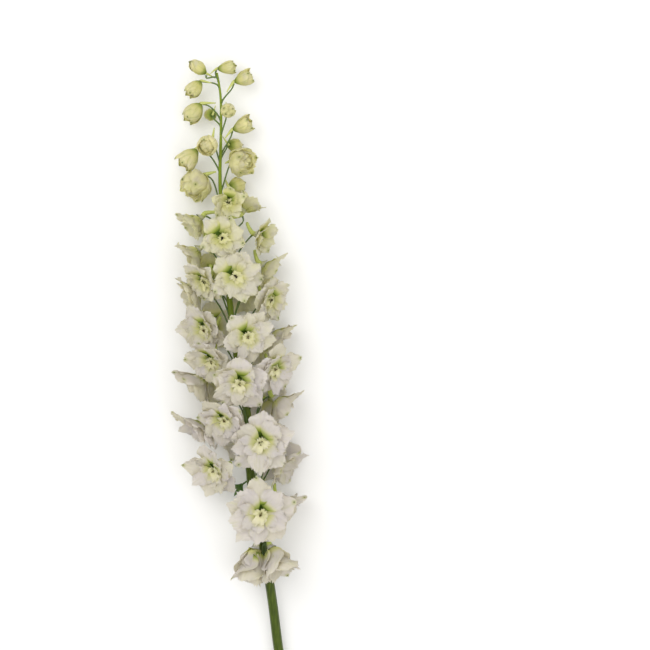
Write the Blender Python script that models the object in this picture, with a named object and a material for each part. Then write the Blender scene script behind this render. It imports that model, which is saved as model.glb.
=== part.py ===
"""One cut delphinium spike, lying on its side.

Metres, +Z up. The spike lies along Y, with its tip at +Y and its cut end at -Y. The origin is on the
surface that it lies on, under the middle of its outline. All sizes below are in millimetres.
"""

import math
from dataclasses import dataclass

import bmesh
import bpy
import numpy as np
from mathutils import Vector

MM = 0.001

# The stem's middle line from the cut end to the tip: across, along, up and radius
STEM_LINE = (
    (54.0, -346.0, 4.9, 4.8),
    (47.0, -294.0, 7.4, 4.8),
    (39.5, -244.0, 11.0, 4.7),
    (34.0, -199.0, 16.0, 4.6),
    (27.0, -154.0, 22.0, 4.6),
    (18.0, -114.0, 27.0, 4.5),
    (12.0, -64.0, 31.0, 4.3),
    (9.0, -8.0, 33.0, 3.8),
    (-1.0, 48.0, 33.0, 3.4),
    (-8.0, 101.0, 32.0, 3.0),
    (-14.0, 166.0, 30.0, 2.4),
    (-17.0, 196.0, 28.0, 2.0),
    (-18.5, 230.0, 26.0, 1.7),
    (-18.0, 256.0, 24.5, 1.5),
    (-17.6, 281.0, 23.0, 1.3),
    (-17.8, 306.0, 22.0, 1.2),
    (-19.5, 322.0, 21.5, 1.1),
    (-21.8, 335.0, 21.0, 0.9),
)
STEM_STEPS = 2
STEM_ROUNDNESS = 2

# A stalk leaves the stem outwards and towards the tip, and bends over into its flower from below.
# The shares are of the way from the stem to the flower.
STALK_RADIUS_FOOT = 1.1
STALK_RADIUS_TOP = 0.75
STALK_ROUNDNESS = 1
STALK_SPANS = 5
STALK_OUT_SHARE = 0.15
STALK_RISE_SHARE = 0.35
STALK_BEND_SHARE = 0.3
STALK_STRAIGHT_END = 1.5
SEAT_SPANS = 3

# A floret: five broad outer petals around a throat, on a small calyx with a spur behind it
WALL = 1.2
THROAT_RADIUS = 2.5
CALYX_DEPTH = 5.0
CALYX_RADIUS = 3.2
SPUR_ROOT_BACK = 4.0
SPUR_ROOT_UP = 1.2
SPUR_ROOT_RADIUS = 2.0
SPUR_MIDDLE_SHARE = 0.6
SPUR_END_BACK = 11.2
SPUR_END_UP = 9.6
SPUR_END_RADIUS = 1.4
BEE_HEIGHT = 5.0
PETALS = 5
STEPS_PER_PETAL = 3
NOTCH_REACH = 0.7
TIP_CURL = 14.0

# The seat of the stalk: this far behind the calyx and below it, on a face that slopes by this much
SEAT_BACK = 2.0
SEAT_DOWN = 2.0
SEAT_SLOPE = 0.6

# The rows of points around a floret or a bud, from the spur's end to the front. Petal rows give the
# share of the petal's length, on its back up to the edge row and on its inner face after it.
CALYX_ROW = 3
PETAL_ROWS = {4: 0.33, 5: 0.7, 6: 1.0, 7: 1.0, 8: 0.66, 9: 0.2}
PETAL_EDGE_ROW = 6
FLORET_ROWS = 10

# A closed bud: an egg on the same calyx and spur, as rings at a share of its length and its width
BUD_SIDES = 8
BUD_RINGS = ((0.12, 0.5), (0.31, 0.84), (0.5, 1.0), (0.69, 1.0), (0.88, 0.72))

# Free space that touching pieces keep. A petal is tried at each reach, from its full length down to
# the shortest, at some shares of that reach. Two florets part halfway between their middles.
SEAT_GAP = 0.35
CLEARANCE = 0.8
SHORTEST_REACH = 0.25
REACH_STEP = 0.05
TRIED_SHARES = (0.4, 0.6, 0.8, 1.0)
MIDDLE_HEIGHT = 4.0

# The weight of the spike presses what hangs below it flat onto the surface
PRESS_SLOPE = 0.2
PRESS_HEIGHT = 5.0
PRESS_SOFTNESS = 4.0
LOWEST_UNPRESSED = -19.0


@dataclass
class Bloom:
    """A floret or a bud: where its throat is, where it looks, and how its stalk reaches it."""

    name: str
    heart: tuple
    toward: tuple
    petal: float
    spread: float
    foot: float
    roll: float = 0.0
    spur: tuple = None


FLORETS = (
    Bloom("floret_01", (18, -142, 38), (-0.25, -0.95, 0.1), 38, 12, -188),
    Bloom("floret_02", (33, -142, 42), (0.4, -0.85, 0.35), 36, 24, -178),
    Bloom("floret_03", (24, -105, 66), (0.05, -0.1, 1.0), 34, 82, -160),
    Bloom("floret_04", (-23, -63, 47), (-0.45, -0.45, 0.75), 29, 74, -112, spur=(15, 4, -5)),
    Bloom("floret_05", (24, -34, 68), (0.1, -0.2, 1.0), 33, 80, -92),
    Bloom("floret_06", (-35, -17, 33), (-0.55, -0.7, 0.2), 31, 54, -70),
    Bloom("floret_07", (-12, -12, 63), (-0.3, -0.55, 0.75), 28, 74, -58, roll=10),
    Bloom("floret_08", (3, 24, 70), (0.0, -0.3, 0.95), 29, 78, -26),
    Bloom("floret_09", (-34, 29, 30), (-0.72, -0.68, 0.1), 30, 42, -18),
    Bloom("floret_10", (-25, 46, 55), (-0.4, -0.6, 0.7), 29, 72, 6),
    Bloom("floret_11", (11, 70, 67), (0.2, -0.2, 0.95), 26, 78, 24, roll=40),
    Bloom("floret_12", (-32, 77, 46), (-0.55, -0.4, 0.75), 28, 72, 30, roll=10),
    Bloom("floret_13", (-32, 125, 46), (-0.55, -0.5, 0.65), 25, 68, 82, roll=10),
    Bloom("floret_14", (-40, 113, 26), (-0.85, -0.45, 0.1), 26, 52, 66),
    Bloom("floret_15", (-1, 129, 65), (0.15, -0.05, 1.0), 26, 80, 78, roll=55),
    Bloom("floret_16", (-40, 156, 28), (-0.78, -0.62, 0.1), 25, 40, 116),
    Bloom("floret_17", (-14, 167, 62), (0.0, -0.1, 1.0), 22, 80, 128, roll=45),
    Bloom("floret_18", (-38, 187, 32), (-0.75, -0.6, 0.2), 23, 36, 150, spur=(13, 4, -2)),
    Bloom("floret_19", (-9, 203, 53), (0.15, -0.3, 0.95), 17, 58, 172),
    Bloom("floret_20", (7, 196, 30), (0.55, 0.75, -0.1), 20, 34, 166),
    Bloom("floret_21", (20, 170, 36), (0.85, -0.3, 0.4), 22, 54, 132),
    Bloom("floret_22", (25, 140, 25), (0.8, -0.5, -0.1), 25, 52, 104),
    Bloom("floret_23", (31, 106, 45), (0.75, -0.3, 0.55), 26, 70, 58),
    Bloom("floret_24", (33, 72, 27), (0.8, -0.6, -0.05), 27, 52, 30),
    Bloom("floret_25", (36, 38, 52), (0.65, -0.35, 0.65), 27, 72, -10),
    Bloom("floret_26", (37, 6, 28), (0.75, -0.65, -0.05), 28, 48, -42),
    Bloom("floret_27", (42, -54, 36), (0.7, -0.65, 0.25), 28, 54, -104),
    Bloom("floret_28", (42, -96, 24), (0.7, -0.65, -0.1), 26, 50, -138),
    Bloom("floret_29", (-18, 172, 6), (-0.25, -0.15, -0.95), 20, 74, 140),
    Bloom("floret_30", (-30, 131, 6), (-0.45, 0.0, -0.88), 23, 74, 96),
    Bloom("floret_31", (8, 116, 6), (0.4, -0.1, -0.9), 24, 74, 82),
    Bloom("floret_32", (-25, 80, 6), (-0.4, 0.0, -0.9), 25, 74, 44),
    Bloom("floret_33", (22, 60, 6), (0.4, 0.0, -0.9), 26, 74, 20),
    Bloom("floret_34", (-18, 24, 6), (-0.35, 0.0, -0.9), 26, 74, -10),
    Bloom("floret_35", (26, 6, 6), (0.4, 0.0, -0.9), 26, 74, -34),
    Bloom("floret_36", (4, -36, 6), (-0.2, 0.0, -0.95), 23, 74, -76),
    Bloom("floret_37", (37, -54, 6), (0.35, -0.1, -0.9), 26, 74, -96),
)

# For a bud, petal is the length of its body and spread is the width
BUDS = (
    Bloom("bud_01", (-41, 340, 24), (-0.8, 0.58, 0.2), 20, 13, 329, spur=(9, -4, -8)),
    Bloom("bud_02", (-12, 340, 22), (0.97, 0.1, 0.15), 18, 14, 326, spur=(-7, -6, 8)),
    Bloom("bud_03", (5, 329, 22), (0.9, 0.3, 0.15), 19, 17, 304, spur=(-8, -11, 3)),
    Bloom("bud_04", (-44, 319, 23), (-0.6, -0.72, 0.25), 19, 16, 320, spur=(11, -2, 6)),
    Bloom("bud_05", (-45, 295, 22), (-0.64, -0.75, 0.15), 22, 19, 286, spur=(15, 1, 3)),
    Bloom("bud_06", (-29, 294, 11), (-0.35, 0.1, -0.9), 15, 12, 280, spur=(3, 9, 1)),
    Bloom("bud_07", (-10, 295, 39), (0.15, -0.05, 1.0), 16, 15, 272),
    Bloom("bud_08", (4, 281, 25), (0.85, 0.3, 0.2), 20, 18, 251, spur=(-8, -9, 3)),
    Bloom("bud_09", (-29, 261, 41), (-0.3, -0.45, 0.85), 20, 19, 244),
    Bloom("bud_10", (-49, 249, 25), (-0.62, -0.76, 0.15), 22, 21, 234, spur=(15, 2, 3)),
    Bloom("bud_11", (-5, 263, 10), (0.6, 0.0, -0.75), 17, 14, 246, spur=(-6, 8, 0)),
    Bloom("bud_12", (4, 244, 34), (0.75, -0.1, 0.6), 26, 24, 214, spur=(-7, -2, 3)),
    Bloom("bud_13", (-3, 222, 12), (0.7, 0.2, -0.65), 18, 16, 198, spur=(-5, 9, -1)),
    Bloom("bud_14", (-43, 221, 30), (-0.62, -0.7, 0.35), 28, 27, 200, spur=(12, 4, 3)),
)

# A leaf: a short stalk that leaves the stem square to it, and narrow lobes that fan out from its end
LEAF_THICKNESS = 1.2
LEAF_STALK_RADIUS = 0.9
LEAF_STALK_START = 2.0
LOBE_WIDTH = 4.0
LOBE_ROOT = 2.0
LOBE_SIDES = 8

# Colours and roughness of the finishes
STEM_GREEN = ((0.10, 0.19, 0.03), 0.5)
LEAF_GREEN = ((0.05, 0.13, 0.02), 0.55)
PETAL_WHITE = ((0.72, 0.69, 0.60), 0.6)
BUD_CREAM = ((0.66, 0.68, 0.38), 0.55)

WELD_DISTANCE = 0.01


@dataclass
class Leaf:
    """A small divided leaf: where it leaves the stem, which way, where it forks and the lobes' tips."""

    name: str
    foot: float
    away: tuple
    fork: tuple
    tips: tuple


LEAVES = (
    Leaf("leaf_1", -76, (-0.8, 0.0, -0.6), (3, -80, 23), ((-5, -92, 14), (2, -98, 13), (-10, -84, 16))),
    Leaf("leaf_2", -74, (0.45, 0.0, -0.9), (19, -80, 18), ((18, -95, 10), (25, -97, 9), (30, -88, 11))),
)


def unit(vector):
    """The same direction with length one."""
    vector = np.array(vector, dtype=float)
    return vector / np.linalg.norm(vector)


def smooth_line(points, steps):
    """Points on the smooth curve that runs through the given ones."""
    points = np.array(points, dtype=float)
    padded = np.vstack([2 * points[0] - points[1], points, 2 * points[-1] - points[-2]])
    line = []
    for before, start, end, after in zip(padded, padded[1:], padded[2:], padded[3:]):
        for step in range(steps):
            t = step / steps
            square = (2 * before - 5 * start + 4 * end - after) * t * t
            cube = (3 * start - before - 3 * end + after) * t * t * t
            line.append(0.5 * (2 * start + (end - before) * t + square + cube))
    line.append(points[-1])
    return np.array(line)


STEM = smooth_line(STEM_LINE, STEM_STEPS)


def stem_at(along):
    """The stem's middle at a place along it."""
    across = np.interp(along, STEM[:, 1], STEM[:, 0])
    up = np.interp(along, STEM[:, 1], STEM[:, 2])
    return np.array((across, along, up))


def leaf_foot(leaf):
    """Where a leaf's stalk begins, a small gap off the stem's skin."""
    radius = np.interp(leaf.foot, STEM[:, 1], STEM[:, 3])
    return stem_at(leaf.foot) + unit(leaf.away) * (radius + SEAT_GAP)


def pressed(points):
    """Points below the spike, pushed up and together by the surface that it lies on."""
    points = np.array(points, dtype=float)
    up = points[..., 2]
    soft = np.logaddexp(0.0, (up - PRESS_HEIGHT) / PRESS_SOFTNESS) * PRESS_SOFTNESS
    floor = -PRESS_HEIGHT * (1 - PRESS_SLOPE) / PRESS_SLOPE
    points[..., 2] = PRESS_SLOPE * (up - floor) + (1 - PRESS_SLOPE) * soft
    return points


def axes(bloom):
    """The directions to the side, to the spur's side and out of the face."""
    facing = unit(bloom.toward)
    upright = unit(np.array((0.0, 1.0, 0.0)) - facing[1] * facing)
    side = np.cross(upright, facing)
    turn = math.radians(bloom.roll)
    rolled = upright * math.cos(turn) - side * math.sin(turn)
    return np.cross(rolled, facing), rolled, facing


def calyx(bloom, is_bud):
    """The middle of the calyx, just behind the petals or the egg of the bud."""
    facing = axes(bloom)[2]
    depth = bloom.petal / 2 if is_bud else CALYX_DEPTH
    return np.array(bloom.heart, dtype=float) - facing * depth


def spur_line(bloom, is_bud):
    """Root, middle and end of the spur."""
    side, upright, facing = axes(bloom)
    base = calyx(bloom, is_bud)
    root = base - facing * SPUR_ROOT_BACK + upright * SPUR_ROOT_UP
    if bloom.spur is None:
        end = base - facing * SPUR_END_BACK + upright * SPUR_END_UP
    else:
        end = base + np.array(bloom.spur, dtype=float)
    middle = root + (end - root) * SPUR_MIDDLE_SHARE
    return root, middle, end


def seat(bloom, is_bud):
    """Where the stalk meets the calyx, under the spur, and the way it comes in."""
    side, upright, facing = axes(bloom)
    base = calyx(bloom, is_bud)
    outward = unit(-facing * SEAT_SLOPE - upright)
    return base - facing * SEAT_BACK - upright * SEAT_DOWN + outward * SEAT_GAP, outward


def stalk_line(bloom, is_bud):
    """The stalk's middle line, from inside the stem to its gap at the calyx."""
    top, outward = seat(bloom, is_bud)
    foot = stem_at(bloom.foot)
    length = np.linalg.norm(top - foot)
    away = top - foot
    away[1] = 0.0
    rise = np.array((0.0, length * STALK_RISE_SHARE, 0.0))
    lift = foot + unit(away) * length * STALK_OUT_SHARE + rise
    approach = top + outward * length * STALK_BEND_SHARE
    end = top + outward * STALK_STRAIGHT_END
    line = []
    for step in range(STALK_SPANS):
        t = step / (STALK_SPANS - 1)
        early = foot * (1 - t) ** 3 + 3 * lift * t * (1 - t) ** 2
        late = 3 * approach * t * t * (1 - t) + end * t ** 3
        line.append(early + late)
    line.append(top)
    return np.array(line)


def petal_points(bloom, angle, fraction, along, inner):
    """Points on the petals: on their back, or on their inner face one wall thickness away."""
    side, upright, facing = axes(bloom)
    outward = side * math.cos(angle) + upright * math.sin(angle)
    lean = np.radians(bloom.spread + TIP_CURL * (np.asarray(fraction) - 0.5))[..., None]
    along = np.asarray(along)[..., None]
    points = np.array(bloom.heart) + outward * (THROAT_RADIUS + along * np.sin(lean))
    points = points + facing * along * np.cos(lean)
    if inner:
        points = points + (facing * np.sin(lean) - outward * np.cos(lean)) * WALL
    return points


def blocks():
    """Every thin thing that petals have to clear, as straight pieces with a radius and an owner."""
    pieces = []
    for start, end in zip(STEM, STEM[1:]):
        pieces.append((start[:3], end[:3], start[3], "stem"))
    for blooms, is_bud in ((FLORETS, False), (BUDS, True)):
        for bloom in blooms:
            line = stalk_line(bloom, is_bud)
            for number, (start, end) in enumerate(zip(line, line[1:])):
                is_seat = number >= len(line) - SEAT_SPANS
                pieces.append((start, end, STALK_RADIUS_FOOT, bloom.name if is_seat else "stalk"))
            root, middle, end = spur_line(bloom, is_bud)
            pieces.append((root, middle, SPUR_ROOT_RADIUS, bloom.name))
            pieces.append((middle, end, SPUR_END_RADIUS, bloom.name))
            if is_bud:
                heart = np.array(bloom.heart, dtype=float)
                half = axes(bloom)[2] * (bloom.petal - bloom.spread) * 0.5
                pieces.append((heart - half, heart + half, bloom.spread * 0.5, bloom.name))
    for leaf in LEAVES:
        pieces.append((leaf_foot(leaf), np.array(leaf.fork, dtype=float), LEAF_STALK_RADIUS, "leaf"))
        for tip in leaf.tips:
            ends = (np.array(leaf.fork, dtype=float), np.array(tip, dtype=float))
            pieces.append((*ends, LOBE_WIDTH / 2, "leaf"))
    return pieces


BLOCKS = blocks()
BLOCK_STARTS = np.array([piece[0] for piece in BLOCKS])
BLOCK_ENDS = np.array([piece[1] for piece in BLOCKS])
BLOCK_RADII = np.array([piece[2] for piece in BLOCKS])
BLOCK_OWNERS = np.array([piece[3] for piece in BLOCKS])


def room_at(bloom, points):
    """How far points of this floret are from what they must clear, below zero where it is too near."""
    middle = np.array(bloom.heart) + axes(bloom)[2] * MIDDLE_HEIGHT
    room = points[:, 2] - LOWEST_UNPRESSED
    for other in FLORETS:
        if other is not bloom:
            rival = np.array(other.heart) + axes(other)[2] * MIDDLE_HEIGHT
            side_room = ((middle + rival) / 2 - points) @ unit(rival - middle) - SEAT_GAP
            room = np.minimum(room, side_room)
    others = BLOCK_OWNERS != bloom.name
    starts = BLOCK_STARTS[others]
    spans = BLOCK_ENDS[others] - starts
    offsets = points[:, None, :] - starts
    share = np.clip((offsets * spans).sum(axis=2) / (spans * spans).sum(axis=1), 0, 1)
    gaps = np.linalg.norm(offsets - spans * share[:, :, None], axis=2) - BLOCK_RADII[others]
    return np.minimum(room, gaps.min(axis=1) - CLEARANCE)


def free_reach(bloom, angle):
    """How far the petals can run in one direction before they come too near to something."""
    reaches = bloom.petal * np.arange(1.0, SHORTEST_REACH, -REACH_STEP)
    fractions = np.tile(TRIED_SHARES, (len(reaches), 1))
    along = fractions * reaches[:, None]
    points = [petal_points(bloom, angle, fractions, along, inner) for inner in (False, True)]
    room = room_at(bloom, np.concatenate(points, axis=1).reshape(-1, 3))
    clear = reaches[room.reshape(len(reaches), -1).min(axis=1) > 0]
    return clear[0] if len(clear) else bloom.petal * SHORTEST_REACH


def petal_reaches(bloom):
    """The length of the petals at each step around the floret: notches, and shoulders between them."""
    count = PETALS * STEPS_PER_PETAL
    step = 2 * math.pi / count
    free = [free_reach(bloom, math.pi / 2 + step * index / 2) for index in range(2 * count)]
    reaches = {}
    for index in range(count):
        place = 2 * index + 1
        around = [free[(place + shift) % (2 * count)] for shift in (-1, 0, 1)]
        is_notch = index % STEPS_PER_PETAL == 1
        wish = bloom.petal * (NOTCH_REACH if is_notch else 1.0)
        reaches[index] = min([wish] + around)
    return reaches


def sphere_rows(sides, rows):
    """A ball whose points know their row, from the back pole to the front one, and their step around."""
    mesh = bmesh.new()
    bmesh.ops.create_uvsphere(mesh, u_segments=sides, v_segments=rows, radius=1.0)
    places = {}
    for vert in mesh.verts:
        row = round((math.pi - math.acos(max(-1.0, min(1.0, vert.co.z)))) / math.pi * rows)
        turn = math.atan2(vert.co.y, vert.co.x) % (2 * math.pi)
        places[vert] = (row, round(turn / (2 * math.pi) * sides) % sides)
    return mesh, places


def spur_ring(bloom, is_bud, row, angle):
    """A point on the spur or the calyx: row 0 is the spur's end and row 3 is the calyx."""
    side, upright, facing = axes(bloom)
    root, middle, end = spur_line(bloom, is_bud)
    outward = side * math.cos(angle) + upright * math.sin(angle)
    if row == 0:
        return end
    if row == 1:
        return middle + outward * SPUR_END_RADIUS
    if row == 2:
        return root + outward * SPUR_ROOT_RADIUS
    return calyx(bloom, is_bud) + outward * CALYX_RADIUS


def floret_mesh(bloom):
    """A ball drawn out into spur, calyx, petals and bee."""
    sides = PETALS * STEPS_PER_PETAL
    mesh, places = sphere_rows(sides, FLORET_ROWS)
    reaches = petal_reaches(bloom)
    heart = np.array(bloom.heart, dtype=float)
    facing = axes(bloom)[2]
    for vert, (row, step) in places.items():
        angle = math.pi / 2 + (step + 0.5) * 2 * math.pi / sides
        if row <= CALYX_ROW:
            point = spur_ring(bloom, False, row, angle)
        elif row == FLORET_ROWS:
            point = heart + facing * BEE_HEIGHT
        else:
            share = PETAL_ROWS[row]
            along = share * reaches[step]
            point = petal_points(bloom, angle, share, along, row > PETAL_EDGE_ROW)
        vert.co = Vector(pressed(point) * MM)
    return mesh


def bud_mesh(bloom):
    """A ball drawn out into a spur and an egg."""
    rows = CALYX_ROW + 1 + len(BUD_RINGS)
    mesh, places = sphere_rows(BUD_SIDES, rows)
    side, upright, facing = axes(bloom)
    base = calyx(bloom, True)
    for vert, (row, step) in places.items():
        angle = math.pi / 2 + step * 2 * math.pi / BUD_SIDES
        outward = side * math.cos(angle) + upright * math.sin(angle)
        if row <= CALYX_ROW:
            point = spur_ring(bloom, True, row, angle)
        elif row == rows:
            point = base + facing * bloom.petal
        else:
            share, width = BUD_RINGS[row - CALYX_ROW - 1]
            point = base + facing * bloom.petal * share + outward * bloom.spread / 2 * width
        vert.co = Vector(pressed(point) * MM)
    return mesh


def material(name, look):
    """A plain finish for one kind of piece."""
    colour, roughness = look
    finish = bpy.data.materials.new(name)
    finish.use_nodes = True
    shader = finish.node_tree.nodes["Principled BSDF"]
    shader.inputs["Base Color"].default_value = (*colour, 1.0)
    shader.inputs["Roughness"].default_value = roughness
    shader.inputs["Metallic"].default_value = 0.0
    return finish


def add_piece(name, mesh, collection, finish):
    """A finished bmesh as a named object, shaded smooth."""
    data = bpy.data.meshes.new(name)
    mesh.to_mesh(data)
    mesh.free()
    data.shade_smooth()
    piece = bpy.data.objects.new(name, data)
    collection.objects.link(piece)
    data.materials.append(finish)
    return piece


def tube_mesh(name, line, radii, resolution):
    """A closed round tube along a line, made from a curve."""
    curve = bpy.data.curves.new(name, "CURVE")
    curve.dimensions = "3D"
    curve.bevel_depth = MM
    curve.bevel_resolution = resolution
    curve.use_fill_caps = True
    spline = curve.splines.new("POLY")
    spline.points.add(len(line) - 1)
    for point, place, radius in zip(spline.points, line, radii):
        point.co = (*(np.array(place) * MM), 1.0)
        point.radius = radius
    guide = bpy.data.objects.new(name, curve)
    bpy.context.scene.collection.objects.link(guide)
    bpy.context.view_layer.update()
    evaluated = guide.evaluated_get(bpy.context.evaluated_depsgraph_get())
    data = bpy.data.meshes.new_from_object(evaluated)
    mesh = bmesh.new()
    mesh.from_mesh(data)
    bmesh.ops.remove_doubles(mesh, verts=mesh.verts, dist=WELD_DISTANCE * MM)
    bpy.data.objects.remove(guide)
    bpy.data.meshes.remove(data)
    return mesh


def join_all(piece, guides):
    """Unite a piece with every guide in a collection."""
    union = piece.modifiers.new("joined", "BOOLEAN")
    union.operation = "UNION"
    union.operand_type = "COLLECTION"
    union.collection = guides
    union.solver = "EXACT"


def add_guides(name):
    """A collection for shapes that are joined to a piece and not kept themselves."""
    guides = bpy.data.collections.new(name)
    bpy.context.scene.collection.children.link(guides)
    return guides


def hide_guides(guides):
    """Keep the guides out of the finished object."""
    for guide in guides.objects:
        guide.hide_render = True
        guide.display_type = "WIRE"


def add_stem(collection, finish):
    """The stem with every stalk that branches from it."""
    mesh = tube_mesh("stem", STEM[:, :3], STEM[:, 3], STEM_ROUNDNESS)
    stem = add_piece("stem", mesh, collection, finish)
    guides = add_guides("stalks")
    for blooms, is_bud in ((FLORETS, False), (BUDS, True)):
        for bloom in blooms:
            line = stalk_line(bloom, is_bud)
            radii = np.linspace(STALK_RADIUS_FOOT, STALK_RADIUS_TOP, len(line))
            mesh = tube_mesh(bloom.name, pressed(line), radii, STALK_ROUNDNESS)
            add_piece("stalk_of_" + bloom.name, mesh, guides, finish)
    hide_guides(guides)
    join_all(stem, guides)


def lobe_mesh(start, tip, width):
    """A flat lance-shaped lobe: a ball drawn out and pressed flat."""
    mesh = bmesh.new()
    bmesh.ops.create_uvsphere(mesh, u_segments=LOBE_SIDES, v_segments=LOBE_SIDES, radius=1.0)
    start = np.array(start, dtype=float)
    tip = np.array(tip, dtype=float)
    along = tip - start
    flat = unit(np.cross(along, (0.0, 0.0, 1.0)))
    normal = unit(np.cross(along, flat))
    for vert in mesh.verts:
        share = (vert.co.z + 1) / 2
        place = start + along * share
        place = place + flat * vert.co.x * width / 2 + normal * vert.co.y * LEAF_THICKNESS / 2
        vert.co = Vector(place * MM)
    return mesh


def add_leaf(leaf, collection, finish):
    """A small leaf: its stalk, and narrow lobes that fan out from the stalk's end."""
    foot = leaf_foot(leaf)
    line = smooth_line((foot, foot + unit(leaf.away) * LEAF_STALK_START, leaf.fork), STEM_STEPS)
    mesh = tube_mesh(leaf.name, line, [LEAF_STALK_RADIUS] * len(line), STALK_ROUNDNESS)
    piece = add_piece(leaf.name, mesh, collection, finish)
    guides = add_guides("lobes_of_" + leaf.name)
    for number, tip in enumerate(leaf.tips):
        start = np.array(leaf.fork) - unit(np.array(tip) - leaf.fork) * LOBE_ROOT
        add_piece(f"lobe_{number}_of_{leaf.name}", lobe_mesh(start, tip, LOBE_WIDTH), guides, finish)
    hide_guides(guides)
    join_all(piece, guides)


def main():
    """Build the whole spike in an empty scene."""
    for thing in list(bpy.data.objects):
        bpy.data.objects.remove(thing)
    collection = bpy.data.collections.new("delphinium_spike")
    bpy.context.scene.collection.children.link(collection)
    green = material("stem_green", STEM_GREEN)
    leafy = material("leaf_green", LEAF_GREEN)
    white = material("petal_white", PETAL_WHITE)
    cream = material("bud_cream", BUD_CREAM)
    add_stem(collection, green)
    for leaf in LEAVES:
        add_leaf(leaf, collection, leafy)
    for bloom in FLORETS:
        add_piece(bloom.name, floret_mesh(bloom), collection, white)
    for bloom in BUDS:
        add_piece(bloom.name, bud_mesh(bloom), collection, cream)


main()
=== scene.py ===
# %% [markdown]
# # A cut spike of white delphinium
#
# This lesson dresses a plain model of a cut delphinium spike that lies on a table. The plain model says
# where the stem runs, where each flower sits and how long its petals may be. Here the flowers get thin
# petals, a bee, a spur and anthers, the buds get folded sepals, and the stem gets ridges. Lengths are in
# millimetres, and one factor turns them into Blender's metres.

# %% Load the plain model
import math
from dataclasses import dataclass, replace
from random import Random

import bmesh
import bpy
import numpy as np
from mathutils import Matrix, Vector, noise


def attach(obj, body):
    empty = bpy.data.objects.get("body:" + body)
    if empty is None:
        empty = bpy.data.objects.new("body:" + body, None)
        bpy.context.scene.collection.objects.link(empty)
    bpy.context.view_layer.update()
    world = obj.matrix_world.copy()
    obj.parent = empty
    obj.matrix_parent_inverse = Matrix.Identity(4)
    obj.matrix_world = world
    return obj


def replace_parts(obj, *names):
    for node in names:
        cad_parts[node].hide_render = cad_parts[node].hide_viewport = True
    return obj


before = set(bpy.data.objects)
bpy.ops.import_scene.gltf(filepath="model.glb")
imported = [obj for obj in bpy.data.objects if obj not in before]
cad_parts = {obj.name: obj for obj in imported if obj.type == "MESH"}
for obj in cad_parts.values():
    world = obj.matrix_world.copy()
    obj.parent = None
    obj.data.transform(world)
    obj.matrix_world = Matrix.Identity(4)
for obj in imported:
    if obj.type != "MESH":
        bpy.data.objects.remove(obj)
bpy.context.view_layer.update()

MM = 0.001
print("plain pieces:", len(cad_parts))

# %% [markdown]
# ## Where everything grows
#
# A delphinium spike is a straight stem with a flower at the end of each thin stalk, set in a spiral. The
# oldest flowers are at the bottom and wide open, and the youngest are closed buds at the top. Each bloom
# is one row of a table: where its throat is, where it looks, how long its petals are, how far they
# spread from the axis in degrees, and where its stalk leaves the stem. Some rows also say where the
# spur ends and how far the face is rolled. The same table made the plain model, so both agree.

# %% The table of blooms
@dataclass
class Bloom:
    """A floret or a bud. The rows below give the values in this order, without the name."""

    name: str
    heart: tuple
    toward: tuple
    petal: float
    spread: float
    foot: float
    spur: tuple = None
    roll: float = 0.0


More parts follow.
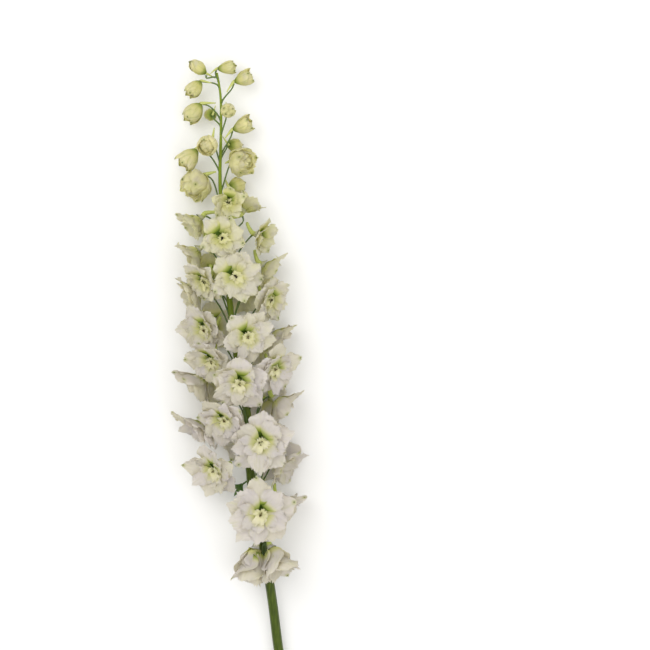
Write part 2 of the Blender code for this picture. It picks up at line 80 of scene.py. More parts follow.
FLORET_ROWS = (
    ((18, -142, 38), (-0.25, -0.95, 0.1), 38, 12, -188),
    ((33, -142, 42), (0.4, -0.85, 0.35), 36, 24, -178),
    ((24, -105, 66), (0.05, -0.1, 1.0), 34, 82, -160),
    ((-23, -63, 47), (-0.45, -0.45, 0.75), 29, 74, -112, (15, 4, -5)),
    ((24, -34, 68), (0.1, -0.2, 1.0), 33, 80, -92),
    ((-35, -17, 33), (-0.55, -0.7, 0.2), 31, 54, -70),
    ((-12, -12, 63), (-0.3, -0.55, 0.75), 28, 74, -58, None, 10),
    ((3, 24, 70), (0.0, -0.3, 0.95), 29, 78, -26),
    ((-34, 29, 30), (-0.72, -0.68, 0.1), 30, 42, -18),
    ((-25, 46, 55), (-0.4, -0.6, 0.7), 29, 72, 6),
    ((11, 70, 67), (0.2, -0.2, 0.95), 26, 78, 24, None, 40),
    ((-32, 77, 46), (-0.55, -0.4, 0.75), 28, 72, 30, None, 10),
    ((-32, 125, 46), (-0.55, -0.5, 0.65), 25, 68, 82, None, 10),
    ((-40, 113, 26), (-0.85, -0.45, 0.1), 26, 52, 66),
    ((-1, 129, 65), (0.15, -0.05, 1.0), 26, 80, 78, None, 55),
    ((-40, 156, 28), (-0.78, -0.62, 0.1), 25, 40, 116),
    ((-14, 167, 62), (0.0, -0.1, 1.0), 22, 80, 128, None, 45),
    ((-38, 187, 32), (-0.75, -0.6, 0.2), 23, 36, 150, (13, 4, -2)),
    ((-9, 203, 53), (0.15, -0.3, 0.95), 17, 58, 172),
    ((7, 196, 30), (0.55, 0.75, -0.1), 20, 34, 166),
    ((20, 170, 36), (0.85, -0.3, 0.4), 22, 54, 132),
    ((25, 140, 25), (0.8, -0.5, -0.1), 25, 52, 104),
    ((31, 106, 45), (0.75, -0.3, 0.55), 26, 70, 58),
    ((33, 72, 27), (0.8, -0.6, -0.05), 27, 52, 30),
    ((36, 38, 52), (0.65, -0.35, 0.65), 27, 72, -10),
    ((37, 6, 28), (0.75, -0.65, -0.05), 28, 48, -42),
    ((42, -54, 36), (0.7, -0.65, 0.25), 28, 54, -104),
    ((42, -96, 24), (0.7, -0.65, -0.1), 26, 50, -138),
    ((-18, 172, 6), (-0.25, -0.15, -0.95), 20, 74, 140),
    ((-30, 131, 6), (-0.45, 0.0, -0.88), 23, 74, 96),
    ((8, 116, 6), (0.4, -0.1, -0.9), 24, 74, 82),
    ((-25, 80, 6), (-0.4, 0.0, -0.9), 25, 74, 44),
    ((22, 60, 6), (0.4, 0.0, -0.9), 26, 74, 20),
    ((-18, 24, 6), (-0.35, 0.0, -0.9), 26, 74, -10),
    ((26, 6, 6), (0.4, 0.0, -0.9), 26, 74, -34),
    ((4, -36, 6), (-0.2, 0.0, -0.95), 23, 74, -76),
    ((37, -54, 6), (0.35, -0.1, -0.9), 26, 74, -96),
)
# For a bud, petal is the length of its body and spread is the width
BUD_ROWS = (
    ((-41, 340, 24), (-0.8, 0.58, 0.2), 20, 13, 329, (9, -4, -8)),
    ((-12, 340, 22), (0.97, 0.1, 0.15), 18, 14, 326, (-7, -6, 8)),
    ((5, 329, 22), (0.9, 0.3, 0.15), 19, 17, 304, (-8, -11, 3)),
    ((-44, 319, 23), (-0.6, -0.72, 0.25), 19, 16, 320, (11, -2, 6)),
    ((-45, 295, 22), (-0.64, -0.75, 0.15), 22, 19, 286, (15, 1, 3)),
    ((-29, 294, 11), (-0.35, 0.1, -0.9), 15, 12, 280, (3, 9, 1)),
    ((-10, 295, 39), (0.15, -0.05, 1.0), 16, 15, 272),
    ((4, 281, 25), (0.85, 0.3, 0.2), 20, 18, 251, (-8, -9, 3)),
    ((-29, 261, 41), (-0.3, -0.45, 0.85), 20, 19, 244),
    ((-49, 249, 25), (-0.62, -0.76, 0.15), 22, 21, 234, (15, 2, 3)),
    ((-5, 263, 10), (0.6, 0.0, -0.75), 17, 14, 246, (-6, 8, 0)),
    ((4, 244, 34), (0.75, -0.1, 0.6), 26, 24, 214, (-7, -2, 3)),
    ((-3, 222, 12), (0.7, 0.2, -0.65), 18, 16, 198, (-5, 9, -1)),
    ((-43, 221, 30), (-0.62, -0.7, 0.35), 28, 27, 200, (12, 4, 3)),
)
FLORETS = [Bloom(f"floret_{number:02}", *row) for number, row in enumerate(FLORET_ROWS, 1)]
BUDS = [Bloom(f"bud_{number:02}", *row) for number, row in enumerate(BUD_ROWS, 1)]
print("florets:", len(FLORETS), "buds:", len(BUDS))

# %% [markdown]
# ## The stem's line and each bloom's own directions
#
# The stem's middle line is a smooth curve through a few given points. Each bloom has three
# directions of its own: to its side, up its face, which is where its spur is, and out of its face. The
# spike lies on a table, so what hangs below the stem is pushed up and together, which one formula does
# to every point: high points stay where they are and low ones are squeezed above the table.

# %% The stem's line
# Each row: across, along and up, and the stem's radius there
STEM_LINE = (
    (54.0, -346.0, 4.9, 4.8),
    (47.0, -294.0, 7.4, 4.8),
    (39.5, -244.0, 11.0, 4.7),
    (34.0, -199.0, 16.0, 4.6),
    (27.0, -154.0, 22.0, 4.6),
    (18.0, -114.0, 27.0, 4.5),
    (12.0, -64.0, 31.0, 4.3),
    (9.0, -8.0, 33.0, 3.8),
    (-1.0, 48.0, 33.0, 3.4),
    (-8.0, 101.0, 32.0, 3.0),
    (-14.0, 166.0, 30.0, 2.4),
    (-17.0, 196.0, 28.0, 2.0),
    (-18.5, 230.0, 26.0, 1.7),
    (-18.0, 256.0, 24.5, 1.5),
    (-17.6, 281.0, 23.0, 1.3),
    (-17.8, 306.0, 22.0, 1.2),
    (-19.5, 322.0, 21.5, 1.1),
    (-21.8, 335.0, 21.0, 0.9),
)


def smooth_line(points, steps):
    """Points on the smooth curve that runs through the given ones."""
    points = np.array(points, dtype=float)
    padded = np.vstack([2 * points[0] - points[1], points, 2 * points[-1] - points[-2]])
    line = []
    for before, start, end, after in zip(padded, padded[1:], padded[2:], padded[3:]):
        for step in range(steps):
            t = step / steps
            square = (2 * before - 5 * start + 4 * end - after) * t * t
            cube = (3 * start - before - 3 * end + after) * t * t * t
            line.append(0.5 * (2 * start + (end - before) * t + square + cube))
    line.append(points[-1])
    return np.array(line)


# The stalks leave the coarse line of the plain model, and the stem's skin follows a finer one
STALK_FEET = smooth_line(STEM_LINE, 2)


def stem_at(along):
    """The stem's middle at a place along it."""
    across = np.interp(along, STALK_FEET[:, 1], STALK_FEET[:, 0])
    up = np.interp(along, STALK_FEET[:, 1], STALK_FEET[:, 2])
    return np.array((across, along, up))


# %% How the table presses the spike
PRESS_SLOPE = 0.2
PRESS_HEIGHT = 5.0
PRESS_SOFTNESS = 4.0
LOWEST = 0.3


def pressed(points):
    """Points below the spike, pushed up and together by the surface that it lies on."""
    points = np.array(points, dtype=float)
    up = points[..., 2]
    soft = np.logaddexp(0.0, (up - PRESS_HEIGHT) / PRESS_SOFTNESS) * PRESS_SOFTNESS
    floor = -PRESS_HEIGHT * (1 - PRESS_SLOPE) / PRESS_SLOPE
    points[..., 2] = np.maximum(PRESS_SLOPE * (up - floor) + (1 - PRESS_SLOPE) * soft, LOWEST)
    return points


HEIGHTS_BEFORE = np.linspace(-60.0, 120.0, 721)
HEIGHTS_AFTER = pressed(np.stack([HEIGHTS_BEFORE * 0, HEIGHTS_BEFORE * 0, HEIGHTS_BEFORE], axis=1))[:, 2]


def unpressed(points):
    """The same points as they were before the table pressed them."""
    points = np.array(points, dtype=float)
    points[..., 2] = np.interp(points[..., 2], HEIGHTS_AFTER, HEIGHTS_BEFORE)
    return points


# %% Directions of a bloom
YOUNG_FROM = 40.0
YOUNG_AT = 300.0
# Florets that look down under the spike count this much younger, which paints them greener: painted shade
# for the yellow-green shade they lie in. It also gives them a younger bee and more anthers.
PAINTED_SHADE_YOUTH = 0.3
LOOKS_DOWN = -0.5


def unit(vector):
    """The same direction with length one."""
    vector = np.array(vector, dtype=float)
    return vector / np.linalg.norm(vector)


def axes(bloom):
    """The directions to the side, to the spur's side and out of the face."""
    facing = unit(bloom.toward)
    upright = unit(np.array((0.0, 1.0, 0.0)) - facing[1] * facing)
    side = np.cross(upright, facing)
    turn = math.radians(bloom.roll)
    rolled = upright * math.cos(turn) - side * math.sin(turn)
    return np.cross(rolled, facing), rolled, facing


def youth_and_shade(bloom):
    """How young a bloom is: 0 at the bottom of the spike, 1 at its tip. One that looks down counts as
    younger, which paints it greener: painted shade.
    """
    share = (bloom.heart[1] - YOUNG_FROM) / (YOUNG_AT - YOUNG_FROM)
    return max(0.0, min(1.0, share + PAINTED_SHADE_YOUTH * (bloom.toward[2] < LOOKS_DOWN)))


print("youth of the first and the last floret:", youth_and_shade(FLORETS[0]), round(youth_and_shade(FLORETS[-1]), 2))

# %% [markdown]
# ## How long the petals may be
#
# The plain model holds each floret as one solid whose petals stop short of their neighbours. Its points
# are read back here: each is turned into the floret's own directions, and the furthest one in each
# direction around the face says how far a petal can run there.

# %% Read the outline of each floret
THROAT_RADIUS = 2.5
PETALS = 5
STEPS_PER_PETAL = 3
OUTLINE_STEPS = PETALS * STEPS_PER_PETAL
BEHIND_FACE = -1.0
FREE_NOTCH = 0.67
SHORTEST_REACH = 0.3
LONGEST_REACH = 1.04
OUTLINE_HOLD = 0.6


def outline(bloom):
    """How far a floret's petals run at each of the steps around it, in millimetres."""
    side, upright, facing = axes(bloom)
    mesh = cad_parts[bloom.name].data
    points = np.array([vert.co for vert in mesh.vertices]) / MM
    offsets = unpressed(points) - np.array(bloom.heart, dtype=float)
    x, y, z = offsets @ side, offsets @ upright, offsets @ facing
    reach = np.hypot(np.hypot(x, y) - THROAT_RADIUS, z)
    turn = (np.degrees(np.arctan2(y, x)) - 90.0) % 360.0
    reach[z < BEHIND_FACE] = 0.0
    step = np.floor(turn / 360.0 * OUTLINE_STEPS).astype(int) % OUTLINE_STEPS
    reaches = [reach[step == index].max(initial=0.0) for index in range(OUTLINE_STEPS)]
    for index in range(1, OUTLINE_STEPS, STEPS_PER_PETAL):
        if reaches[index] > FREE_NOTCH * bloom.petal:
            reaches[index] = bloom.petal
    return np.clip(reaches, SHORTEST_REACH * bloom.petal, LONGEST_REACH * bloom.petal)


OUTLINES = {bloom.name: outline(bloom) for bloom in FLORETS}


def reach_at(bloom, angles):
    """How far petals may run at angles around the face, in degrees, where 90 is up. Buds are free."""
    if bloom.name not in OUTLINES:
        return np.full(len(angles), np.inf)
    places = ((angles - 90.0) % 360.0) / 360.0 * OUTLINE_STEPS - 0.5
    steps = np.arange(-1, OUTLINE_STEPS + 1)
    room = np.interp(places, steps, OUTLINES[bloom.name][steps % OUTLINE_STEPS])
    return bloom.petal + OUTLINE_HOLD * (room - bloom.petal)


for bloom in FLORETS[:3]:
    print(bloom.name, "petals run", np.round(OUTLINES[bloom.name], 1))

# %% [markdown]
# ## Finishes
#
# A petal is a film of clear wet cells over air, a third of a millimetre thick. It scatters light on both
# sides and lets some through, so it looks milky white and glows where light comes from behind. Its veins
# fan out from its base, it is yellow and then green towards the throat, and each outer petal has a small
# green gland by its tip. A painted picture could give all this, but a pattern built from nodes has no
# edge and no pixels. Each petal's points carry their distance from the base, the tip and the midrib in
# millimetres, and the nodes read those, so the pattern follows the petal however it bends.

# %% Helpers for finishes
MEASURES = ("from_base", "from_rib", "from_tip", "fan", "green_and_shade", "youth_and_shade", "seed")


def hex_colour(code):
    """An sRGB hex colour as Blender's linear colour."""
    parts = [int(code[place:place + 2], 16) / 255 for place in (1, 3, 5)]
    linear = [part / 12.92 if part <= 0.04045 else ((part + 0.055) / 1.055) ** 2.4 for part in parts]
    return (*linear, 1.0)


def new_finish(name):
    """A finish with an empty graph, and its graph."""
    finish = bpy.data.materials.new(name)
    finish.use_nodes = True
    finish.node_tree.nodes.clear()
    return finish, finish.node_tree


def node(tree, kind, settings=None, **links):
    """Add a node. Settings go to the node, numbers to its sockets, and sockets and nodes are linked."""
    made = tree.nodes.new("ShaderNode" + kind)
    for key, value in (settings or {}).items():
        setattr(made, key, value)
    for key, value in links.items():
        number = key.rsplit("_", 1)[-1]
        socket = made.inputs[int(number)] if number.isdigit() else made.inputs[key.replace("_", " ")]
        value = value.outputs[0] if isinstance(value, bpy.types.Node) else value
        if isinstance(value, bpy.types.NodeSocket):
            tree.links.new(value, socket)
        else:
            socket.default_value = value
    return made


def lay_colour(tree, below, above, value, start, end, amount=1.0):
    """Lay a colour over another: none of it where a value is at start, all of the amount at end."""
    share = node(tree, "MapRange", {"interpolation_type": "SMOOTHSTEP"}, Value=value,
                 in_1=start, in_2=end, in_3=0.0, in_4=amount)
    return node(tree, "Mix", {"data_type": "RGBA"}, in_0=share, in_6=below,
                in_7=hex_colour(above)).outputs[2]


# %% Petal finish
# Real veins are too fine to show from this far, so these are as coarse as they need to be
VEINS = 9.0
VEIN_LENGTH = 16.0
PATCH_SIZE = 11.0
GLAND_FROM_TIP = 2.6
PETAL_BUMP = 0.4
PATCH_GREEN = 0.1
YOUNG_PATCH_GREEN = 0.4
YOUNG_HALO = 0.4
INNER_LIGHT = "#E9E27E"
INNER_SHARE = 0.14


def petal_finish(name, old, young, veined, margin_shade, glow, halo):
    """Living petal: milky, with a fan of veins, yellow and green at the throat, and a gland by its tip.
    Painted shade darkens its throat and its overlapping margins.
    """
    finish, tree = new_finish(name)
    kept = {key: node(tree, "Attribute", {"attribute_name": key}).outputs["Fac"] for key in MEASURES}
    place = node(tree, "TexCoord").outputs["Object"]
    patches = node(tree, "TexNoise", Vector=place, Scale=1 / (PATCH_SIZE * MM), Detail=2.0)
    green = node(tree, "Math", {"operation": "MULTIPLY_ADD"}, in_0=kept["youth_and_shade"],
                 in_1=YOUNG_PATCH_GREEN, in_2=PATCH_GREEN)
    own = node(tree, "Math", {"operation": "FRACT"}, in_0=kept["seed"])
    place = node(tree, "CombineXYZ", X=kept["fan"], Y=kept["from_base"], Z=kept["seed"])
    drawn = node(tree, "VectorMath", {"operation": "MULTIPLY"}, in_0=place,
                 in_1=(VEINS, 1 / VEIN_LENGTH, 1.0))
    veins = node(tree, "TexNoise", Vector=drawn, Scale=1.0, Detail=3.0)
    outer = node(tree, "Math", {"operation": "ABSOLUTE"}, in_0=kept["fan"])
    nearer = node(tree, "Math", {"operation": "MULTIPLY_ADD"}, in_0=kept["youth_and_shade"],
                  in_1=-YOUNG_HALO, in_2=1.0)
    apart = node(tree, "Math", {"operation": "MULTIPLY"}, in_0=kept["from_base"], in_1=nearer)
    beyond = node(tree, "Math", {"operation": "SUBTRACT"}, in_0=kept["from_tip"],
                  in_1=GLAND_FROM_TIP)
    place = node(tree, "CombineXYZ", X=kept["from_rib"], Y=beyond)
    gland = node(tree, "VectorMath", {"operation": "LENGTH"}, in_0=place).outputs["Value"]
    # Each layer has its colour, what it follows, where it starts, where it is full, and how much it covers
    colour_layers = (
        ("#DCD6DC", patches, 0.5, 0.75, 0.45),  # cool patches
        ("#DFE19A", patches, 0.5, 0.25, green),  # green patches
        ("#E9E6C4", own, 0.3, 1.0, 0.3),  # some petals creamier than others
        ("#C6CB84", veins, 0.5, 0.75, veined),  # veins
        # Greener margins: painted shade where the petals and sepals overlap
        ("#BFC765", outer, 0.72, 1.0, margin_shade),  # green margins
        ("#E5E37E", apart, 9.5, 2.0, halo),  # yellow halo
        ("#A9B84A", kept["from_base"], 6.5, 1.6, kept["green_and_shade"]),  # green base
        # Darkest green at each petal's base, most above the bee: painted shade of the throat's hole over
        # the petals' own green
        ("#4C6C16", kept["from_base"], 2.6, -0.2, kept["green_and_shade"]),  # dark throat
        ("#C5C986", gland, 4.0, 0.9, 0.55),  # pale ring around the gland
        ("#6A782E", gland, 1.2, 0.4, 0.75),  # gland
    )
    colour = node(tree, "Mix", {"data_type": "RGBA"}, in_0=kept["youth_and_shade"], in_6=hex_colour(old),
                  in_7=hex_colour(young)).outputs[2]
    for above, value, start, full, amount in colour_layers:
        colour = lay_colour(tree, colour, above, value, start, full, amount)
    bump = node(tree, "Bump", Height=veins, Strength=0.35, Distance=PETAL_BUMP * MM)
    shader = node(tree, "BsdfPrincipled", Base_Color=colour, Roughness=0.58, IOR=1.4,
                  Specular_IOR_Level=0.3, Sheen_Weight=0.08, Normal=bump)
    inner = node(tree, "Mix", {"data_type": "RGBA"}, in_0=INNER_SHARE, in_6=colour,
                 in_7=hex_colour(INNER_LIGHT)).outputs[2]
    through = node(tree, "BsdfTranslucent", Color=inner, Normal=bump)
    mix = node(tree, "MixShader", in_0=glow, in_1=shader, in_2=through)
    node(tree, "OutputMaterial", Surface=mix)
    return finish


# Open petals: a soft milky white with a faint warmth, greener in the young florets
SEPAL = petal_finish("petal_film", "#EBE6E4", "#EFEEC8", veined=0.2, margin_shade=0.06, glow=0.5, halo=0.65)
# Bud sepals: the same film in several layers, with green veins, and margins painted darker green as the
# shade where they overlap
BUD_SEPAL = petal_finish("bud_film", "#F4EED6", "#F5EFBC", veined=0.7, margin_shade=0.32, glow=0.45, halo=0.55)
# Petals of a bud that begins to open: pale and thin, with light in them from all sides
OPENING_PETAL = petal_finish("opening_film", "#FCF9EA", "#FCFADC", veined=0.3, margin_shade=0.12, glow=0.72,
                             halo=0.2)
# The bee: cream yellow, the bright warm spot in the middle of each floret
BEE = petal_finish("bee_beard", "#EFE9CB", "#F0ECAE", veined=0.3, margin_shade=0.0, glow=0.3, halo=0.3)
print("petal finishes:", SEPAL.name, BUD_SEPAL.name, OPENING_PETAL.name, BEE.name)

# %% [markdown]
# ## Green parts
#
# The calyx and the spur are petal tissue that kept its green. The stem, its stalks and the leaves are
# waxy skin over green flesh. The anthers are nearly black with a dusty skin.

# %% Green finishes
STREAK_SQUEEZE = 0.08
SKIN_BUMP = 0.3


def skin_finish(name, pale, dark, young, streak_size, roughness):
    """Plant skin: two colours in long streaks with fine ridges, and a third one where it is young."""
    finish, tree = new_finish(name)
    place = node(tree, "TexCoord").outputs["Object"]
    drawn = node(tree, "Mapping", Vector=place, Scale=(1.0, STREAK_SQUEEZE, 1.0))
    fine = node(tree, "TexNoise", Vector=drawn, Scale=1 / (streak_size * MM), Detail=4.0)
    colour = lay_colour(tree, hex_colour(dark), pale, fine, 0.35, 0.7)
    age = node(tree, "Attribute", {"attribute_name": "youth_and_shade"}).outputs["Fac"]
    colour = lay_colour(tree, colour, young, age, 0.0, 1.0)
    bump = node(tree, "Bump", Height=fine, Strength=0.4, Distance=SKIN_BUMP * MM)
    shader = node(tree, "BsdfPrincipled", Base_Color=colour, Roughness=roughness, IOR=1.45,
                  Specular_IOR_Level=0.28, Normal=bump)
    node(tree, "OutputMaterial", Surface=shader)
    return finish


# The stem: olive green with long pale streaks and a waxy gleam
STEM_SKIN = skin_finish("stem_skin", "#4E5F14", "#38470B", "#798C20", 1.6, 0.42)
# The stalks: thin, darker and a little bluish against the pale petals
STALK_SKIN = skin_finish("stalk_skin", "#5F7440", "#4A6030", "#667C3E", 0.8, 0.5)
# The spurs: yellow green, halfway between a petal and the stem
SPUR_SKIN = skin_finish("spur_skin", "#B9C26C", "#9CAB4A", "#C4C978", 1.2, 0.5)
# The throat: the inside of the cup, painted dark green as the shade of the hole above the bee
THROAT_PAINTED_SHADE = skin_finish("throat_painted_shade", "#55701C", "#3A500F", "#56721C", 1.0, 0.6)
# The anthers: nearly black when young, brown and dry when old
ANTHER_DUST = skin_finish("anther_dust", "#6F5E34", "#4C3F20", "#2B2512", 0.6, 0.8)
# The leaves: deep matt green
LEAF_SKIN = skin_finish("leaf_skin", "#4F7030", "#33511F", "#5F8238", 2.2, 0.5)
# The cut end: pale moist flesh around the stem's hollow
PITH = skin_finish("cut_pith", "#C9D2A0", "#B2BE86", "#C9D2A0", 0.8, 0.75)
print("finishes in all:", len(bpy.data.materials))

# %% [markdown]
# ## One petal
#
# A real petal grows flat and narrow and then widens, and its edge grows faster than its middle, so it
# ruffles and frays into teeth. It could be sculpted, or cut from a picture. Here it starts as a flat grid
# of quads. One function draws its outline, one raises its folds, and one bends the sheet out of the
# flower's face, or around it where the flower is still a bell. The wall's thickness comes last, from a
# modifier.

# %% Describe a petal
@dataclass
class Petal:
    """One petal. Angles are in degrees around the face, 90 is up; lengths are in millimetres."""

    angle: float
    start: float
    reach: float
    width: float
    lean: float
    curl: float = 14.0
    lift: float = 0.0
    cup: float = 0.0
    twist: float = 0.0
    belly: float = 0.0
    ruffle: float = 0.0
    teeth: float = 0.0
    point: float = 0.0
    blunt: float = 0.25
    claw: float = 0.3
    gland: bool = False
    green_and_shade: float = 1.0


def add_sheet(mesh, columns, rows):
    """A flat grid in a mesh: its new points, and how far across (-1 to 1) and along (0 to 1) each is."""
    before = set(mesh.faces)
    verts = bmesh.ops.create_grid(mesh, x_segments=columns, y_segments=rows, size=1.0)["verts"]
    faces = [face for face in mesh.faces if face not in before]
    across = np.array([vert.co.x for vert in verts])
    along = np.array([(vert.co.y + 1) / 2 for vert in verts])
    return verts, faces, across, along


def new_mesh():
    """An empty mesh whose points can carry the measures that the finishes read."""
    mesh = bmesh.new()
    return mesh, {name: mesh.verts.layers.float.new(name) for name in MEASURES}


# %% Outline of a petal
WAIST = 0.78
EARLY_SWELL = 0.85
CORNERS = 2.4
POINT_WIDTH = 0.26
FRAYED_SIDES = 0.07
LOBES = 5.0
LOBE_DEPTH = 0.35
TOOTH_DEPTH = 0.6
TOOTH_STEP = 0.35
TOOTH_RANGE = (-1.0, 0.8)
TEETH_AT_RIM = 0.8
OUTLINE_DETAIL = 0.4
NARROWING = 0.5


def column_room(bloom, petal, aside, run):
    """How much of its length each column of a petal may use before it meets another flower."""
    angles = petal.angle - np.degrees(np.arctan2(aside, run + THROAT_RADIUS))
    share = np.minimum(1.0, reach_at(bloom, angles) / np.maximum(np.hypot(aside, run), 1e-6))
    padded = np.concatenate([share[:1], share, share[-1:]])
    return (padded[:-2] + padded[1:-1] + padded[2:]) / 3


def petal_outline(bloom, petal, across, along, columns, rows, rng):
    """How far from the midrib and how far from the heart each point of the flat petal is."""
    swell = petal.claw + (1 - petal.claw) * np.sin(WAIST * math.pi * along ** EARLY_SWELL)
    aside = across * petal.width * swell
    drawn = 1 - petal.blunt * np.abs(across) ** CORNERS * along ** 3
    run = petal.start + (petal.reach - petal.start) * along * drawn
    column = np.round((across + 1) / 2 * columns).astype(int)
    row = np.round(along * rows).astype(int)
    edge = along > 1 - 0.5 / rows
    order = np.argsort(column[edge])
    room = column_room(bloom, petal, aside[edge][order], run[edge][order])
    room = room.mean() + OUTLINE_DETAIL * (room - room.mean())
    run = run * (1 - (1 - room[column]) * along)
    aside = aside * (1 - NARROWING + NARROWING * room.mean())
    frayed = np.array([[rng.uniform(-1, 1) for _ in range(2)] for _ in range(rows + 1)])
    aside = aside * (1 + FRAYED_SIDES * frayed[row, (across > 0) * 1] * np.abs(across) ** 5 * along)
    tooth = [rng.uniform(*TOOTH_RANGE) + TOOTH_STEP * (-1) ** (place + 1) for place in range(columns + 1)]
    lobes = np.sin(LOBES * across + rng.uniform(0, 2 * math.pi))
    rim = TOOTH_DEPTH * np.array(tooth)[column] + LOBE_DEPTH * lobes
    run = run + petal.teeth * rim * along ** (rows * TEETH_AT_RIM)
    run = run + petal.point * np.exp(-(across / POINT_WIDTH) ** 2) * along ** 6
    return aside, run


# %% Folds of a petal
SEEDS = 40.0
CUP_END = 0.66
WAVES = 1.7
TIP_WAVES = 3.0
TIP_WAVE_DEPTH = 0.6
PLEATS = 4.5
PLEAT_DEPTH = 0.16
LUMP_SIZE = 9.0
LUMP_DEPTH = 0.9


def petal_folds(petal, across, along, aside, run, rng):
    """How far each point rises out of the flat petal towards the flower's face."""
    phases = [rng.uniform(0, 2 * math.pi) for _ in range(5)]
    seed = rng.uniform(0, SEEDS)
    wave = np.sin(2 * math.pi * WAVES * along + np.where(across > 0, phases[0], phases[1]))
    height = petal.lift + petal.twist * across - petal.belly * np.sin(math.pi * along)
    height = height + petal.cup * across ** 2 * np.sin(math.pi * along * CUP_END)
    lumps = [noise.noise(Vector((x / LUMP_SIZE, y / LUMP_SIZE, seed))) for x, y in zip(aside, run)]
    ruffle = across ** 2 * along * wave
    ruffle = ruffle + TIP_WAVE_DEPTH * along ** 3 * np.sin(TIP_WAVES * across + phases[2])
    ruffle = ruffle + PLEAT_DEPTH * along * np.sin(math.pi * PLEATS * across + phases[3])
    return height + petal.ruffle * (ruffle + LUMP_DEPTH * np.array(lumps) * along)


# %% Bend a petal and write its points
NO_GLAND = 50.0


def bend_petal(bloom, petal, along, aside, run, height):
    """The points of a petal in the flower's place: leaning out of its face and wrapped around it."""
    side, upright, facing = axes(bloom)
    turn = math.radians(petal.angle)
    out = side * math.cos(turn) + upright * math.sin(turn)
    beside = side * math.sin(turn) - upright * math.cos(turn)
    lean = np.radians(petal.lean + petal.curl * (along - 0.5))
    radius = THROAT_RADIUS + run * np.sin(lean)
    bend = aside / np.maximum(radius, 1.0) * max(0.0, math.cos(math.radians(petal.lean)))
    straight = aside - radius * np.sin(bend)
    outward = np.cos(bend)[:, None] * out + np.sin(bend)[:, None] * beside
    points = outward * radius[:, None] + straight[:, None] * beside
    points = points + facing * (run * np.cos(lean))[:, None]
    inward = np.sin(lean)[:, None] * facing - np.cos(lean)[:, None] * outward
    return pressed(np.array(bloom.heart) + points + inward * height[:, None])


def write_points(verts, layers, points, values):
    """Put points where they belong and give each its measures."""
    spread = [(layers[name], np.broadcast_to(value, len(verts)).tolist()) for name, value in values.items()]
    for number, (vert, point) in enumerate(zip(verts, (points * MM).tolist())):
        vert.co = point
        for layer, value in spread:
            vert[layer] = value[number]


def smooth(faces, kind=0):
    """Smooth faces in one of the piece's finishes."""
    for face in faces:
        face.smooth = True
        face.material_index = kind


def finish_sheet(verts, faces, layers, points, values, kind=0):
    """Put a sheet in its place and smooth it, but leave its rim sharp, so that its wall ends cleanly."""
    write_points(verts, layers, points, values)
    smooth(faces, kind)
    for face in faces:
        for edge in face.edges:
            edge.smooth = not edge.is_boundary


def lay_petal(mesh, layers, bloom, petal, grid, rng, kind=0):
    """Grow one petal of a bloom in a mesh."""
    verts, faces, across, along = add_sheet(mesh, *grid)
    aside, run = petal_outline(bloom, petal, across, along, *grid, rng)
    height = petal_folds(petal, across, along, aside, run, rng)
    points = bend_petal(bloom, petal, along, aside, run, height)
    middle = np.abs(across) < 1 / grid[0]
    from_tip = run[middle].max() - run if petal.gland else NO_GLAND
    values = {"from_base": run - petal.start, "from_rib": aside, "from_tip": from_tip, "fan": across,
              "green_and_shade": petal.green_and_shade, "youth_and_shade": youth_and_shade(bloom), "seed": rng.uniform(0, SEEDS)}
    finish_sheet(verts, faces, layers, points, values, kind)


# %% Turn a mesh into a piece
def add_object(name, data):
    """An object with its data, in the scene."""
    added = bpy.data.objects.new(name, data)
    bpy.context.scene.collection.objects.link(added)
    return added


def mesh_object(name, mesh, finishes):
    """An object made of a finished mesh."""
    data = bpy.data.meshes.new(name)
    mesh.to_mesh(data)
    mesh.free()
    for finish in finishes:
        data.materials.append(finish)
    return add_object(name, data)


def add_piece(name, mesh, finishes, thickness=0.0):
    """A finished mesh as a piece that rides on the spike, with its walls from a modifier."""
    piece = mesh_object(name, mesh, finishes)
    if thickness:
        wall = piece.modifiers.new("wall", "SOLIDIFY")
        wall.thickness = thickness * MM
        wall.offset = 0.0
    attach(piece, "root")
    return piece


# %% [markdown]
# ## A floret's petals
#
# The real floret is semi-double: five broad outer petals, each with a green gland by its pointed tip, then
# a ring of narrower toothed ones, a few short ones inside it, and in the middle the bee, a cluster of
# small cream petals of which the lower ones are broad and bearded. Neighbours overlap like the blades of a
# pinwheel, each with one edge over the next one. The mouth between the petals is an oval, and its upper
# end, towards the spur, shows as a dark green hole above the bee, whose dark is painted shade on the
# inside of the cup and on the petals' bases.

# %% The mouth of a floret
FULL_PETAL = 33.0
SMALLEST_EYE = 0.35
MOUTH_ASIDE = 4.4
MOUTH_UP = 7.0
MOUTH_RAISED = 3.8


def eye_scale(bloom):
    """How large the middle of a floret is. It grows less than the petals do."""
    return SMALLEST_EYE + (1 - SMALLEST_EYE) * bloom.petal / FULL_PETAL


def mouth_edge(angle):
    """How far the rim of the mouth is from the heart at an angle, on a full-grown floret."""
    x, y = math.cos(math.radians(angle)), math.sin(math.radians(angle))
    square = (x / MOUTH_ASIDE) ** 2 + (y / MOUTH_UP) ** 2
    shift = MOUTH_RAISED * y / MOUTH_UP ** 2
    rest = (MOUTH_RAISED / MOUTH_UP) ** 2 - 1
    return (shift + math.sqrt(shift ** 2 - square * rest)) / square


print("rim of the mouth above and below:", mouth_edge(90), round(mouth_edge(270), 1))

# %% Where petals start and how they turn
BASE_OVERLAP = 0.8
SIDE_TURN = 24.0
LEAST_GREEN = 0.15


def petal_start(bloom, angle):
    """Where a petal starts, just inside the rim of the mouth."""
    return (mouth_edge(angle) - BASE_OVERLAP) * eye_scale(bloom) - THROAT_RADIUS


def bell_share(bloom):
    """How much of a bell a floret is: near 1 for a bell and 0 for a flat face."""
    return 1 - math.sin(math.radians(bloom.spread)) ** 2


